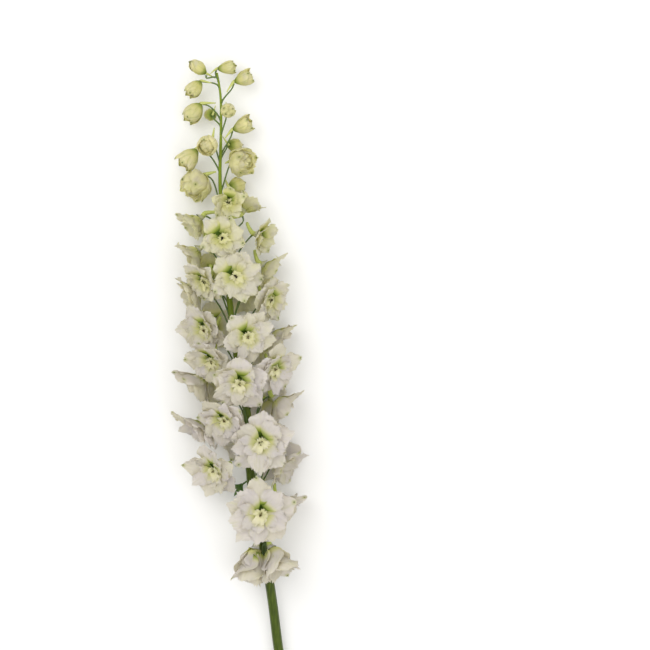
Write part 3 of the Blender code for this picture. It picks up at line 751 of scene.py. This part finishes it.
def turned(bloom, angle):
    """The angle of a petal in its ring. In a floret that looks sideways the ring is turned a little."""
    return angle + SIDE_TURN * (1 - abs(unit(bloom.toward)[2]))


def green_and_shade_share(angle):
    """How green the base of a petal is, and how dark the painted shade of the throat is there: most on the
    spur's side, above the bee.
    """
    return LEAST_GREEN + (1 - LEAST_GREEN) * max(0.0, math.sin(math.radians(angle)))


# %% Outer petals
def outer_petals(bloom, rng):
    """Five broad petals with a pointed tip, each over one neighbour. About half show their gland."""
    scale = bloom.petal / FULL_PETAL
    bell = bell_share(bloom)
    for number in range(PETALS):
        angle = turned(bloom, 90.0 + 72.0 * number) + rng.uniform(-8, 8)
        yield Petal(angle, petal_start(bloom, angle), reach=bloom.petal * rng.uniform(0.88, 1.02),
                    width=bloom.petal * (0.44 - 0.14 * bell) * rng.uniform(0.88, 1.1),
                    lean=bloom.spread + rng.uniform(-6, 5), curl=rng.uniform(2, 20) + 16 * bell,
                    cup=(rng.uniform(-0.5, 2.4) + 1.2 * bell) * scale, twist=1.3 - 4.2 * bell * scale,
                    belly=(rng.uniform(0.03, 0.06) + 0.04 * bell) * bloom.petal,
                    ruffle=(2.1 - 0.7 * bell) * scale, teeth=(2.2 - 0.4 * bell) * scale,
                    point=(2.4 - 1.2 * bell) * scale, blunt=0.28 - 0.18 * bell, gland=rng.random() < 0.5,
                    green_and_shade=green_and_shade_share(angle))


# %% Second petals
SECOND_ANGLES = (46.0, 112.0, 180.0, 248.0, 314.0)
SECOND_INSIDE = 0.6


def second_petals(bloom, rng):
    """Narrower, deeply toothed petals in the gaps between the outer ones."""
    scale = bloom.petal / FULL_PETAL
    bell = bell_share(bloom)
    for middle in SECOND_ANGLES:
        angle = turned(bloom, 90.0 + middle) + rng.uniform(-12, 12)
        yield Petal(angle, petal_start(bloom, angle) + SECOND_INSIDE,
                    reach=bloom.petal * rng.uniform(0.66, 0.96),
                    width=bloom.petal * rng.uniform(0.25, 0.39),
                    lean=max(8.0, bloom.spread + rng.uniform(-9, -3)), curl=rng.uniform(-8, 14) + 20 * bell,
                    lift=1.1 * scale, cup=rng.uniform(-1.5, 2.5) * scale, twist=0.9 + 3.0 * bell * scale,
                    belly=(rng.uniform(0.0, 0.05) + 0.03 * bell) * bloom.petal,
                    ruffle=(2.5 - 1.1 * bell) * scale, teeth=(2.6 - 0.6 * bell) * scale,
                    point=rng.uniform(-1.5, 2.0) * scale, blunt=0.2, claw=0.22,
                    green_and_shade=green_and_shade_share(angle))


# %% Short petals
SHORT_ANGLES = (160.0, 215.0, 262.0, 318.0, 20.0)
SMALL_FLORET = 24.0
MOST_BELL = 0.3


def short_petals(bloom, rng):
    """A few short, narrow petals around the bee, on its sides and below. A bell has none."""
    scale = bloom.petal / FULL_PETAL
    for number, middle in enumerate(SHORT_ANGLES):
        angle = turned(bloom, middle) + rng.uniform(-14, 14)
        reach = bloom.petal * rng.uniform(0.46, 0.66)
        if bell_share(bloom) > MOST_BELL or (number % 2 and bloom.petal < SMALL_FLORET):
            continue
        yield Petal(angle, petal_start(bloom, angle) + rng.uniform(2.0, 4.0) * scale, reach,
                    width=bloom.petal * rng.uniform(0.15, 0.24),
                    lean=max(6.0, bloom.spread + rng.uniform(-9, 0)), curl=rng.uniform(-14, 10),
                    lift=1.5 * scale, cup=rng.uniform(-1.0, 2.0) * scale, twist=rng.uniform(-0.8, 0.8),
                    ruffle=2.0 * scale, teeth=2.2 * scale, blunt=0.2, claw=0.25, green_and_shade=0.2)


# %% The bee
BEE_START = -1.3
BEE_LEAN = 50.0
BEE_SPREAD = 0.66
# For each lobe: its angle, half its width, and its reach in a young and in an old floret
BEE_LOBES = (
    (90.0, 1.6, 2.6, 2.0),
    (40.0, 2.0, 4.4, 4.2),
    (140.0, 2.0, 4.4, 4.2),
    (350.0, 2.3, 5.0, 6.4),
    (190.0, 2.3, 5.0, 6.4),
    (228.0, 2.4, 5.6, 9.0),
    (268.0, 2.4, 5.4, 10.0),
    (308.0, 2.4, 5.6, 9.0),
    (250.0, 1.8, 3.4, 6.0),
    (290.0, 1.8, 3.4, 6.0),
)


def bee_petals(bloom, rng):
    """The bee: a rosette of small bearded lobes, of which the lower ones grow into a fan with age."""
    scale = eye_scale(bloom)
    age = 1 - youth_and_shade(bloom)
    lean = min(BEE_LEAN, bloom.spread * BEE_SPREAD)
    for angle, width, young, old in BEE_LOBES:
        reach = (young + (old - young) * age) * rng.uniform(0.74, 1.2)
        width = (width + 0.3 + 0.6 * age) * rng.uniform(0.8, 1.2)
        yield Petal(angle + rng.uniform(-13, 13), BEE_START, reach * scale, width * scale,
                    lean=lean + rng.uniform(-8, 6), curl=rng.uniform(36, 62), lift=rng.uniform(0.8, 1.8),
                    cup=rng.uniform(-0.6, 0.8), twist=rng.uniform(-0.5, 0.5), belly=-0.8,
                    ruffle=rng.uniform(0.8, 1.9), teeth=2.3 * scale, point=rng.uniform(-0.8, 0.6),
                    blunt=0.12, claw=0.5, green_and_shade=0.12)


# %% Grow the petals of all florets
PETAL_WALL = 0.22
# For each ring: what makes its petals, the quads across and along one of them, and its finish
RINGS = (
    (outer_petals, (18, 12), 0),
    (second_petals, (14, 10), 0),
    (short_petals, (10, 8), 0),
    (bee_petals, (8, 6), 1),
)


def floret_petals(bloom, number):
    """All the petals of a floret as one piece."""
    rng = Random(number)
    mesh, layers = new_mesh()
    for ring, grid, kind in RINGS:
        for petal in ring(bloom, rng):
            lay_petal(mesh, layers, bloom, petal, grid, rng, kind)
    piece = add_piece(bloom.name + ".petals", mesh, (SEPAL, BEE), PETAL_WALL)
    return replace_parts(piece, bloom.name)


for number, bloom in enumerate(FLORETS):
    floret_petals(bloom, number)
print("petal pieces:", len(FLORETS))

# %% [markdown]
# ## Calyx, spur and anthers
#
# Behind the petals sits a small green cup, and from its upper side grows the hollow spur that gives the
# flower its name. The cup is turned on its axis like a bowl and then drawn into an oval at its mouth, and
# the spur is a tube along a bent line. In the cup's mouth stand the anthers, dark and dusty in young
# florets and mostly shed in old ones.

# %% Tubes
NEARLY_UPRIGHT = 0.1
MERGED = 0.001


def frames(line):
    """For each point of a line: its direction and two directions across it that don't twist."""
    ahead = np.gradient(line, axis=0)
    ahead = ahead / np.linalg.norm(ahead, axis=1)[:, None]
    first = np.cross(ahead[0], (0.0, 0.0, 1.0))
    if np.linalg.norm(first) < NEARLY_UPRIGHT:
        first = np.cross(ahead[0], (1.0, 0.0, 0.0))
    rows = []
    for direction in ahead:
        first = unit(first - (first @ direction) * direction)
        rows.append((direction, first, np.cross(direction, first)))
    return np.array(rows)


def roll(mesh, line, directions, sides):
    """Roll a grid around a line: its points and faces, and each point's row, turn and way outwards."""
    verts, faces, across, along = add_sheet(mesh, sides, len(line) - 1)
    row = np.round(along * (len(line) - 1)).astype(int)
    turn = -math.pi * across
    spoke = directions[row, 1] * np.cos(turn)[:, None] + directions[row, 2] * np.sin(turn)[:, None]
    return verts, faces, row, turn, spoke


def add_tube(mesh, layers, line, radii, sides, young, kind=0):
    """A closed round tube: a grid rolled around a line, with its seam merged and its ends drawn in."""
    directions = frames(line)
    line, directions = [np.concatenate([part[:1], part, part[-1:]]) for part in (line, directions)]
    verts, faces, row, _, spoke = roll(mesh, line, directions, sides)
    radius = np.array((0.0, *radii, 0.0))[row]
    write_points(verts, layers, pressed(line[row] + spoke * radius[:, None]), {"youth_and_shade": young})
    smooth(faces, kind)
    bmesh.ops.remove_doubles(mesh, verts=verts, dist=MERGED * MM)


def tapered(line, widths):
    """The radius at each point of a line, from pairs of a share of its length and the radius there."""
    places, radii = zip(*widths)
    return np.interp(np.linspace(0, 1, len(line)), places, radii)


# %% Cup of a floret
CUP_SIDES = 18
CUP_BACK = ((0.0, -6.6), (0.34, -6.4), (0.58, -5.6), (0.72, -4.2), (0.8, -2.6), (0.92, -1.0), (1.06, 0.1))
CUP_MOUTH = ((0.94, 0.0), (0.8, -1.4), (0.62, -3.2), (0.36, -4.4), (0.0, -4.8))
CUP_RADIUS = 3.4
CUP_FRONT = 5.5
CUP_GREEN = 1.5
CUP_RIBS = 2.5
LOOKS_OUT = 0.05


def add_cup(mesh, layers, bloom):
    """Turn a profile around the bloom's axis, and draw its front out into the mouth. It comes first."""
    side, upright, facing = axes(bloom)
    verts = [mesh.verts.new((radius, 0.0, height)) for radius, height in CUP_BACK + CUP_MOUTH]
    edges = [mesh.edges.new(pair) for pair in zip(verts, verts[1:])]
    bmesh.ops.spin(mesh, geom=verts + edges, axis=(0, 0, 1), cent=(0, 0, 0), dvec=(0, 0, 0),
                   angle=2 * math.pi, steps=CUP_SIDES, use_merge=True)
    verts = list(mesh.verts)
    x, y, z = np.array([vert.co for vert in verts]).T
    opened = np.clip((z + CUP_FRONT) / CUP_FRONT, 0, 1) * math.sin(math.radians(bloom.spread))
    aside = x * (CUP_RADIUS + (MOUTH_ASIDE - CUP_RADIUS) * opened) * eye_scale(bloom)
    up = y * (CUP_RADIUS + (MOUTH_UP - CUP_RADIUS) * opened) + MOUTH_RAISED * opened
    up = up * eye_scale(bloom)
    points = np.array(bloom.heart) + aside[:, None] * side + up[:, None] * upright + z[:, None] * facing
    values = {"from_base": (z - CUP_BACK[0][1]) * CUP_GREEN, "fan": np.sin(CUP_RIBS * np.arctan2(y, x)),
              "from_tip": NO_GLAND, "green_and_shade": 0.8, "youth_and_shade": youth_and_shade(bloom)}
    write_points(verts, layers, pressed(points), values)
    bmesh.ops.remove_doubles(mesh, verts=verts, dist=MERGED * MM)
    bmesh.ops.recalc_face_normals(mesh, faces=mesh.faces)
    smooth(mesh.faces)
    # Faces that look out of the mouth take the throat's dark green: painted shade of the hole
    smooth([face for face in mesh.faces if face.normal.dot(Vector(facing)) > LOOKS_OUT], 1)


# %% Spur
CALYX_DEPTH = 5.0
LONG_SPUR = (-11.2, 9.6)
# A spur's start and root, each out of the face and up from the calyx, how near its bend is to its end,
# how far the bend is out of line, its widths along it, and its sides
FLORET_SPUR = ((1.0, 0.8), (-3.0, 1.6), 0.58, (-0.8, 0.0),
               ((0.0, 2.6), (0.3, 2.4), (0.6, 1.8), (0.9, 1.6), (0.97, 1.3), (1.0, 0.8)), 12)
BUD_SPUR = ((1.6, 0.0), (-0.8, 0.4), 0.45, (-0.16, 0.28),
            ((0.0, 2.0), (0.33, 1.8), (0.66, 1.15), (1.0, 0.5)), 10)
SPUR_STEPS = 4
BUD_WIDTH = 18.0


def calyx(bloom, is_bud):
    """The middle of the calyx, just behind the petals or the egg of the bud."""
    depth = bloom.petal / 2 if is_bud else CALYX_DEPTH
    return np.array(bloom.heart, dtype=float) - axes(bloom)[2] * depth


def moved(bloom, place, out, up):
    """A place moved out of a bloom's face and towards its spur's side."""
    _, upright, facing = axes(bloom)
    return place + facing * out + upright * up


def add_spur(mesh, layers, bloom, kind, is_bud=False):
    """The hollow spur: thick and blunt behind a floret, a thin horn on a bud, and a little bent."""
    start, root, share, aside, widths, sides = BUD_SPUR if is_bud else FLORET_SPUR
    base = calyx(bloom, is_bud)
    end = moved(bloom, base, *LONG_SPUR) if bloom.spur is None else base + np.array(bloom.spur)
    root = moved(bloom, base, *root)
    bend = moved(bloom, root * (1 - share) + end * share, *aside)
    line = smooth_line((moved(bloom, base, *start), root, bend, end), SPUR_STEPS)
    size = bloom.spread / BUD_WIDTH if is_bud else 1.0
    add_tube(mesh, layers, line, tapered(line, widths) * size, sides, youth_and_shade(bloom), kind)


# %% Anthers
FEWEST_ANTHERS = 4
MORE_ANTHERS = 12
BUNDLE = 2.4
YOUNG_BUNDLE = 1.5
BUNDLE_DEPTHS = (2.4, 4.6)
ANTHER_SIZE = 0.85
ANTHER_STRETCH = 0.8


def add_anthers(mesh, layers, bloom, rng):
    """A tight bundle of dark anthers in the mouth of a young floret, and a few dry ones in an old one."""
    side, upright, facing = axes(bloom)
    scale = eye_scale(bloom)
    young = youth_and_shade(bloom)
    for _ in range(round(FEWEST_ANTHERS + MORE_ANTHERS * young)):
        turn = rng.uniform(0, 2 * math.pi)
        far = rng.uniform(0.0, BUNDLE + YOUNG_BUNDLE * young) * scale
        place = side * math.cos(turn) * far + upright * (math.sin(turn) * far - 0.4)
        place = place + facing * rng.uniform(*BUNDLE_DEPTHS) * scale
        made = bmesh.ops.create_icosphere(mesh, subdivisions=1, radius=1.0)["verts"]
        long = unit(facing * 0.4 + side * rng.uniform(-1, 1) + upright * rng.uniform(-1, 1))
        local = np.array([vert.co for vert in made]) * ANTHER_SIZE * (0.7 + 0.45 * young) * scale
        local = local + (local @ long)[:, None] * long * ANTHER_STRETCH
        points = pressed(np.array(bloom.heart) + place + local)
        write_points(made, layers, points, {"youth_and_shade": min(1.0, 2.5 * young)})
        smooth({face for vert in made for face in vert.link_faces}, 2)


# %% Grow the base of all florets
BASE_SEED = 1000


def floret_base(bloom, number):
    """Calyx, spur, throat and anthers of a floret as one piece."""
    mesh, layers = new_mesh()
    add_cup(mesh, layers, bloom)
    add_spur(mesh, layers, bloom, 3)
    add_anthers(mesh, layers, bloom, Random(BASE_SEED + number))
    return add_piece(bloom.name + ".base", mesh, (SEPAL, THROAT_PAINTED_SHADE, ANTHER_DUST, SPUR_SKIN))


for number, bloom in enumerate(FLORETS):
    floret_base(bloom, number)
print("calyx pieces:", len(FLORETS))

# %% [markdown]
# ## Buds
#
# A closed bud is a small bell of five cream sepals that wrap around each other, each ending in a green
# point, over a second ring that closes the mouth with a swirl. The sepals are grids again, but laid on a
# bell instead of leaning out of a face. A bud that begins to open has real petals already, still cupped,
# so it is made as a small floret is. The spur is a thin tapered tube that grows out of the bell's top.

# %% Describe a bud sepal
BELL = ((0.0, 0.16), (0.1, 0.42), (0.3, 0.76), (0.52, 0.96), (0.74, 1.0), (0.9, 0.9), (1.0, 0.74))
EGG = ((0.0, 0.2), (0.08, 0.42), (0.25, 0.82), (0.45, 1.0), (0.7, 0.88), (0.9, 0.5), (1.0, 0.12))
CONE = ((0.0, 0.15), (0.1, 0.36), (0.3, 0.64), (0.55, 0.88), (0.8, 1.0), (0.93, 0.98), (1.0, 0.9))
DOME = ((0.0, 0.2), (0.3, 0.7), (0.55, 0.93), (0.8, 0.93), (0.92, 0.74), (0.98, 0.4), (1.0, 0.06))


@dataclass
class BudSepal:
    """One sepal of a bud: its angle, its shape along the bud, and how it lies in its ring."""

    angle: float
    shape: tuple
    inset: float
    length: float
    swirl: float = 0.0
    flare: float = 0.0
    notch: float = 0.14
    dome: float = 0.0
    gland: bool = False


# %% Lay a bud sepal
BUD_GRID = (14, 12)
BUD_HALF = 60.0
BUD_TAPER = 0.25
BUD_LAP = 0.8
BUD_WAVE = 0.4
BUD_WAVES = 7
BUD_RIPPLE = 0.2
BUD_RIPPLES = 8
BUD_POINT = 1.2
BUD_POINT_WIDTH = 0.22
BUD_GLAND = 1.4
DOME_CROWDING = 1.7


def lay_bud_sepal(mesh, layers, bloom, sepal, rng):
    """Lay one sepal on the bud. Its one edge lies over its neighbour and the other lies under."""
    verts, faces, across, along = add_sheet(mesh, *BUD_GRID)
    side, upright, facing = axes(bloom)
    heights, widths = zip(*sepal.shape)
    along = along + sepal.dome * (1 - (1 - along) ** DOME_CROWDING - along)
    half = math.radians(BUD_HALF) * (1 - BUD_TAPER * (1 - sepal.dome) * along ** 4)
    turn = math.radians(sepal.angle) + across * half + sepal.swirl * along ** 2
    radius = np.interp(along, heights, widths) * bloom.spread / 2 * (1 + sepal.flare * along ** 2)
    rise = sepal.dome * along ** 6
    radius = radius - sepal.inset + BUD_LAP * across * (0.4 + 0.6 * along) * (1 - rise)
    phase = rng.uniform(0, 6)
    radius = radius + BUD_WAVE * across ** 2 * np.sin(BUD_WAVES * along + phase) * along
    radius = radius + BUD_RIPPLE * np.sin(BUD_RIPPLES * across + phase) * along
    run = 1 - sepal.notch * np.abs(across) ** 1.6 * along ** 3
    run = bloom.petal * sepal.length * along * run
    run = run + BUD_POINT * np.exp(-(across / BUD_POINT_WIDTH) ** 2) * along ** 8 * (1 - sepal.dome)
    run = run + BUD_LAP * across * rise
    radial = np.cos(turn)[:, None] * side + np.sin(turn)[:, None] * upright
    points = calyx(bloom, True) + facing * run[:, None] + radial * np.maximum(radius, 0.1)[:, None]
    from_tip = run.max() - run + BUD_GLAND if sepal.gland else NO_GLAND
    values = {"from_base": run, "from_rib": across * half * radius, "from_tip": from_tip, "fan": across,
              "green_and_shade": 0.9, "youth_and_shade": youth_and_shade(bloom), "seed": rng.uniform(0, SEEDS)}
    bmesh.ops.reverse_faces(mesh, faces=faces)
    finish_sheet(verts, faces, layers, pressed(points), values)


# %% Rings of a bud
# The shape of a bud's outer sepals and how much they flare, where it isn't a plain bell
BUD_STYLES = {name: (CONE, 0.12) for name in ("bud_02", "bud_03", "bud_08", "bud_10")}
BUD_STYLES.update(bud_01=(EGG, 0.0), bud_06=(EGG, 0.0), bud_09=(BELL, 0.2))
FULL_BUDS = ("bud_09",)
END_ON = 0.55
END_ON_GLANDS = 0.4


def bud_sepals(bloom, rng):
    """The rings of a bud: five sepals outside, more in a full bud, and a dome of wrapped petals inside."""
    full = bloom.name in FULL_BUDS
    shape, flared = BUD_STYLES.get(bloom.name, (BELL, 0.0))
    for number in range(PETALS):
        angle = 90.0 + 72.0 * number + rng.uniform(-6, 6)
        flare = rng.uniform(-0.3, 0.04) + flared
        gland = axes(bloom)[2][2] < END_ON or rng.random() < END_ON_GLANDS
        yield BudSepal(angle, shape, 0.0, rng.uniform(0.88, 1.02), flare=flare, gland=gland)
    for number in range(PETALS * full):
        angle = 54.0 + 72.0 * number + rng.uniform(-9, 9)
        yield BudSepal(angle, BELL, 1.2, rng.uniform(0.86, 1.0), swirl=0.2, flare=rng.uniform(-0.25, 0.0),
                       notch=0.3)
    for number in range(PETALS):
        yield BudSepal(18.0 + 72.0 * number, DOME, 0.5 + 1.2 * full, rng.uniform(0.9, 0.97), swirl=1.4,
                       notch=0.0, dome=1.0)


# %% Petals of an opening bud
OPENING_BUDS = ("bud_12", "bud_14")
# For each ring: how many petals, half their width, their reach, lean and curl, and the ring's turn
OPENING_RINGS = (
    (5, 0.42, 1.0, 50.0, -40.0, 0.0),
    (5, 0.36, 1.0, 40.0, -52.0, 36.0),
    (4, 0.3, 1.0, 29.0, -54.0, 20.0),
    (3, 0.24, 0.98, 14.0, -34.0, 50.0),
)
OPENING_LENGTH = 0.86
OPENING_BASE = 1.5
OPENING_START = -1.5


def opening_petals(bloom, rng):
    """The petals of a bud that begins to open: broad and soft, and still cupped around its heart."""
    length = bloom.petal * OPENING_LENGTH
    for count, width, reach, lean, curl, turn in OPENING_RINGS:
        for number in range(count):
            angle = 90.0 + turn + 360.0 / count * number + rng.uniform(-9, 9)
            yield Petal(angle, OPENING_START, reach=length * reach * rng.uniform(0.93, 1.04),
                        width=bloom.spread * width, lean=lean + rng.uniform(-4, 5), curl=curl,
                        cup=rng.uniform(0.5, 2.5), twist=1.0, belly=0.09 * length, ruffle=1.3, teeth=1.3,
                        point=rng.uniform(0.5, 2.5), blunt=0.2, claw=0.35, gland=turn == 0.0, green_and_shade=0.2)


# %% Grow the buds
BUD_SEED = 2000
OPENING_GRID = (14, 10)


def bud(bloom, number):
    """A bud: its sepals as one piece, and its spur as another."""
    rng = Random(BUD_SEED + number)
    mesh, layers = new_mesh()
    if bloom.name in OPENING_BUDS:
        film = OPENING_PETAL
        base = replace(bloom, heart=tuple(moved(bloom, calyx(bloom, True), OPENING_BASE, 0.0)))
        for petal in opening_petals(bloom, rng):
            lay_petal(mesh, layers, base, petal, OPENING_GRID, rng)
    else:
        film = BUD_SEPAL
        for sepal in bud_sepals(bloom, rng):
            lay_bud_sepal(mesh, layers, bloom, sepal, rng)
    piece = add_piece(bloom.name + ".sepals", mesh, (film,), PETAL_WALL)
    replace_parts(piece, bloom.name)
    mesh, layers = new_mesh()
    add_spur(mesh, layers, bloom, 0, is_bud=True)
    return add_piece(bloom.name + ".spur", mesh, (SPUR_SKIN,))


for number, bloom in enumerate(BUDS):
    bud(bloom, number)
print("buds:", len(BUDS))

# %% [markdown]
# ## Stem and stalks
#
# The stem is one grown piece with the stalks that branch from it. It is ribbed lengthwise, thickest at
# the cut end and thin as a match at the tip. Each stalk leaves it outwards and upwards and bends over
# into its flower. Tubes rolled from grids give both, and they meet inside the stem's skin.

# %% Stalk lines
STALK_POINTS = 9
STALK_WIDTHS = ((0.0, 1.3), (0.15, 0.85), (0.85, 0.7), (1.0, 1.1))
SEAT_BACK = 2.0
SEAT_OUT = 0.35
SEAT_RUN = 1.5
SEAT_SUNK = 0.8
STALK_AWAY = 0.15
STALK_RISE = 0.35
STALK_APPROACH = 0.3


def bezier(start, second, third, end, count):
    """Points on the curve that leaves a start towards a second point and comes to its end from a third."""
    t = np.linspace(0, 1, count)[:, None]
    early = start * (1 - t) ** 3 + 3 * second * t * (1 - t) ** 2
    return early + 3 * third * t * t * (1 - t) + end * t ** 3


def stalk_line(bloom, is_bud):
    """The stalk's middle line, from inside the stem to the calyx, where it comes in under the spur."""
    _, upright, facing = axes(bloom)
    top = moved(bloom, calyx(bloom, is_bud), -SEAT_BACK, -SEAT_BACK)
    outward = unit(-facing * 0.6 - upright)
    foot = stem_at(bloom.foot)
    away = top + outward * SEAT_OUT - foot
    length = np.linalg.norm(away)
    away[1] = 0.0
    lift = foot + unit(away) * length * STALK_AWAY + np.array((0.0, length * STALK_RISE, 0.0))
    approach = top + outward * length * STALK_APPROACH
    line = bezier(foot, lift, approach, top + outward * SEAT_RUN, STALK_POINTS)
    return np.vstack([line, top - outward * SEAT_SUNK])


# %% Stem
STEM_SIDES = 48
STALK_SIDES = 8
RIDGES = 8
RIDGE_DEPTH = 0.035
STEM_STEPS = 7
YOUNG_STEM_FROM = -100.0
YOUNG_STEM_LENGTH = 350.0
YOUNG_STALK = 0.6
CUT_WALL = 1.3
HOLLOW_SLOPE = 0.3
HOLLOW_DEPTH = 6.0


def cut_end(mesh):
    """Close both ends of the stem, and sink the hollow into the one that was cut."""
    ends = bmesh.ops.holes_fill(mesh, edges=[edge for edge in mesh.edges if edge.is_boundary], sides=0)
    bmesh.ops.recalc_face_normals(mesh, faces=mesh.faces)
    cut = min(ends["faces"], key=lambda face: face.calc_center_median().y)
    cut.material_index = 2
    cut.smooth = False
    bmesh.ops.inset_region(mesh, faces=[cut], thickness=CUT_WALL * MM)
    bmesh.ops.inset_region(mesh, faces=[cut], thickness=HOLLOW_SLOPE * MM, depth=-HOLLOW_DEPTH * MM)


def stem():
    """The ribbed stem with its stalks."""
    mesh, layers = new_mesh()
    fine = smooth_line(STEM_LINE, STEM_STEPS)
    line, radii = fine[:, :3], fine[:, 3]
    verts, faces, row, turn, spoke = roll(mesh, line, frames(line), STEM_SIDES)
    radius = radii[row] * (1 + RIDGE_DEPTH * np.cos(RIDGES * turn))
    young = np.clip((line[row, 1] - YOUNG_STEM_FROM) / YOUNG_STEM_LENGTH, 0, 1)
    write_points(verts, layers, line[row] + spoke * radius[:, None], {"youth_and_shade": young})
    smooth(faces)
    bmesh.ops.remove_doubles(mesh, verts=verts, dist=MERGED * MM)
    cut_end(mesh)
    for bloom in FLORETS + BUDS:
        line = stalk_line(bloom, bloom in BUDS)
        radii = tapered(line, STALK_WIDTHS)
        add_tube(mesh, layers, line, radii, STALK_SIDES, youth_and_shade(bloom) * YOUNG_STALK, 1)
    piece = add_piece("stem.skin", mesh, (STEM_SKIN, STALK_SKIN, PITH))
    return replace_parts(piece, "stem")


stem()
print("stem and stalks:", 1 + len(FLORETS + BUDS))

# %% [markdown]
# ## Leaves
#
# The upper leaves of a delphinium are small and cut into narrow lobes like fingers. Each lobe could be
# cut from a sheet, but a grid drawn to a point and folded along its midrib gives the same, and the fold
# catches the light as the real one does. The leaf's stalk is a thin tube.

# %% Describe a leaf
@dataclass
class Leaf:
    """A small leaf: where its stalk leaves the stem, and where its lobes part and end."""

    name: str
    foot: float
    away: tuple
    fork: tuple
    tips: tuple


LEAVES = (
    Leaf("leaf_1", -76, (-0.8, 0, -0.6), (3, -80, 23), ((-5, -92, 14), (2, -98, 13), (-10, -84, 16))),
    Leaf("leaf_2", -74, (0.45, 0, -0.9), (19, -80, 18), ((18, -95, 10), (25, -97, 9), (30, -88, 11))),
)

# %% Grow the leaves
LEAF_SEED = 3000
LEAF_YOUTH = 0.3
LOBE_WIDTH = 4.0
LOBE_ROOT = 2.0
LOBE_GRID = (8, 12)
LOBE_WAVE = 0.12
LOBE_WAVES = 13
LOBE_FOLD = 0.45
LOBE_ARCH = 0.8
LEAF_WALL = 0.4
LEAF_STALK = 0.9
LEAF_STALK_AWAY = 2.0


def lay_lobe(mesh, layers, start, tip, rng):
    """One narrow lobe: a pointed sheet with a wavy edge, folded along its midrib."""
    verts, faces, across, along = add_sheet(mesh, *LOBE_GRID)
    ahead = unit(np.array(tip) - start)
    beside = unit(np.cross(ahead, (0.0, 0.0, 1.0)))
    above = np.cross(beside, ahead)
    half = LOBE_WIDTH / 2 * np.sin(math.pi * (0.12 + 0.86 * along) ** 0.9)
    half = half * (1 + LOBE_WAVE * np.sin(LOBE_WAVES * along + rng.uniform(0, 6)))
    run = np.linalg.norm(np.array(tip) - start) * along
    height = LOBE_FOLD * np.abs(across) * half + LOBE_ARCH * np.sin(math.pi * along)
    points = start + ahead * run[:, None] + beside * (across * half)[:, None] + above * height[:, None]
    finish_sheet(verts, faces, layers, points, {"from_base": run, "youth_and_shade": LEAF_YOUTH})


def grow_leaf(leaf, number):
    """A leaf: its lobes as one piece, and its stalk as another."""
    rng = Random(LEAF_SEED + number)
    mesh, layers = new_mesh()
    fork = np.array(leaf.fork, dtype=float)
    for tip in leaf.tips:
        lay_lobe(mesh, layers, fork - unit(np.array(tip) - fork) * LOBE_ROOT, tip, rng)
    piece = add_piece(leaf.name + ".lobes", mesh, (LEAF_SKIN,), LEAF_WALL)
    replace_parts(piece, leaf.name)
    mesh, layers = new_mesh()
    radius = np.interp(leaf.foot, [row[1] for row in STEM_LINE], [row[3] for row in STEM_LINE])
    foot = stem_at(leaf.foot) + unit(leaf.away) * (radius - LEAF_STALK / 2)
    line = smooth_line((foot, foot + unit(leaf.away) * LEAF_STALK_AWAY, fork), STEM_STEPS)
    add_tube(mesh, layers, line, [LEAF_STALK] * len(line), STALK_SIDES, LEAF_YOUTH)
    return add_piece(leaf.name + ".stalk", mesh, (LEAF_SKIN,))


for number, grown in enumerate(LEAVES):
    grow_leaf(grown, number)
print("leaves:", len(LEAVES))

# %% [markdown]
# ## Floor, light and camera
#
# The spike lies on a plain pale floor under two large soft lights, and the camera looks straight down.
# The places and sizes of the floor and the lights are in metres.

# %% Floor
FLOOR_HALF = 3.0


def floor():
    """A plain pale floor under the spike."""
    mesh = bmesh.new()
    bmesh.ops.create_grid(mesh, x_segments=1, y_segments=1, size=FLOOR_HALF)
    # Matt white paint: it has no gleam, so that only soft shadows show on it
    finish, tree = new_finish("floor_paint")
    shader = node(tree, "BsdfPrincipled", Base_Color=hex_colour("#F7F6F4"), Roughness=0.9)
    node(tree, "OutputMaterial", Surface=shader)
    ground = mesh_object("floor", mesh, (finish,))


floor()
print("floor is wide:", 2 * FLOOR_HALF)


# %% Light
def area_light(name, place, size, watts):
    """A square soft light at a place that looks at the middle of the spike."""
    data = bpy.data.lights.new(name, "AREA")
    data.size = size
    data.energy = watts
    lamp = add_object(name, data)
    lamp.location = place
    lamp.rotation_euler = (-Vector(place)).to_track_quat("-Z", "Y").to_euler()


area_light("key", (-0.6, 0.7, 2.0), 1.5, 15.5)
area_light("fill", (0.7, -0.4, 1.9), 1.6, 8.5)
world = bpy.data.worlds.new("studio")
world.use_nodes = True
world.node_tree.nodes["Background"].inputs["Color"].default_value = (1.0, 1.0, 1.0, 1.0)
world.node_tree.nodes["Background"].inputs["Strength"].default_value = 0.83
bpy.context.scene.world = world
bpy.context.scene.view_settings.view_transform = "Standard"
print("lights:", len(bpy.data.lights))

# %% Camera
PICTURE_MIDDLE = (87.0, 81.0)
PICTURE_WIDTH = 650.0
MIDDLE_HEIGHT = 35.0
CAMERA_HEIGHT = 2000.0
SENSOR_WIDTH = 36.0
camera_data = bpy.data.cameras.new("camera")
camera_data.sensor_width = SENSOR_WIDTH
camera_data.lens = SENSOR_WIDTH * (CAMERA_HEIGHT - MIDDLE_HEIGHT) / PICTURE_WIDTH
camera = add_object("camera", camera_data)
camera.location = Vector((*PICTURE_MIDDLE, CAMERA_HEIGHT)) * MM
bpy.context.scene.camera = camera
print("lens:", round(camera_data.lens, 1))
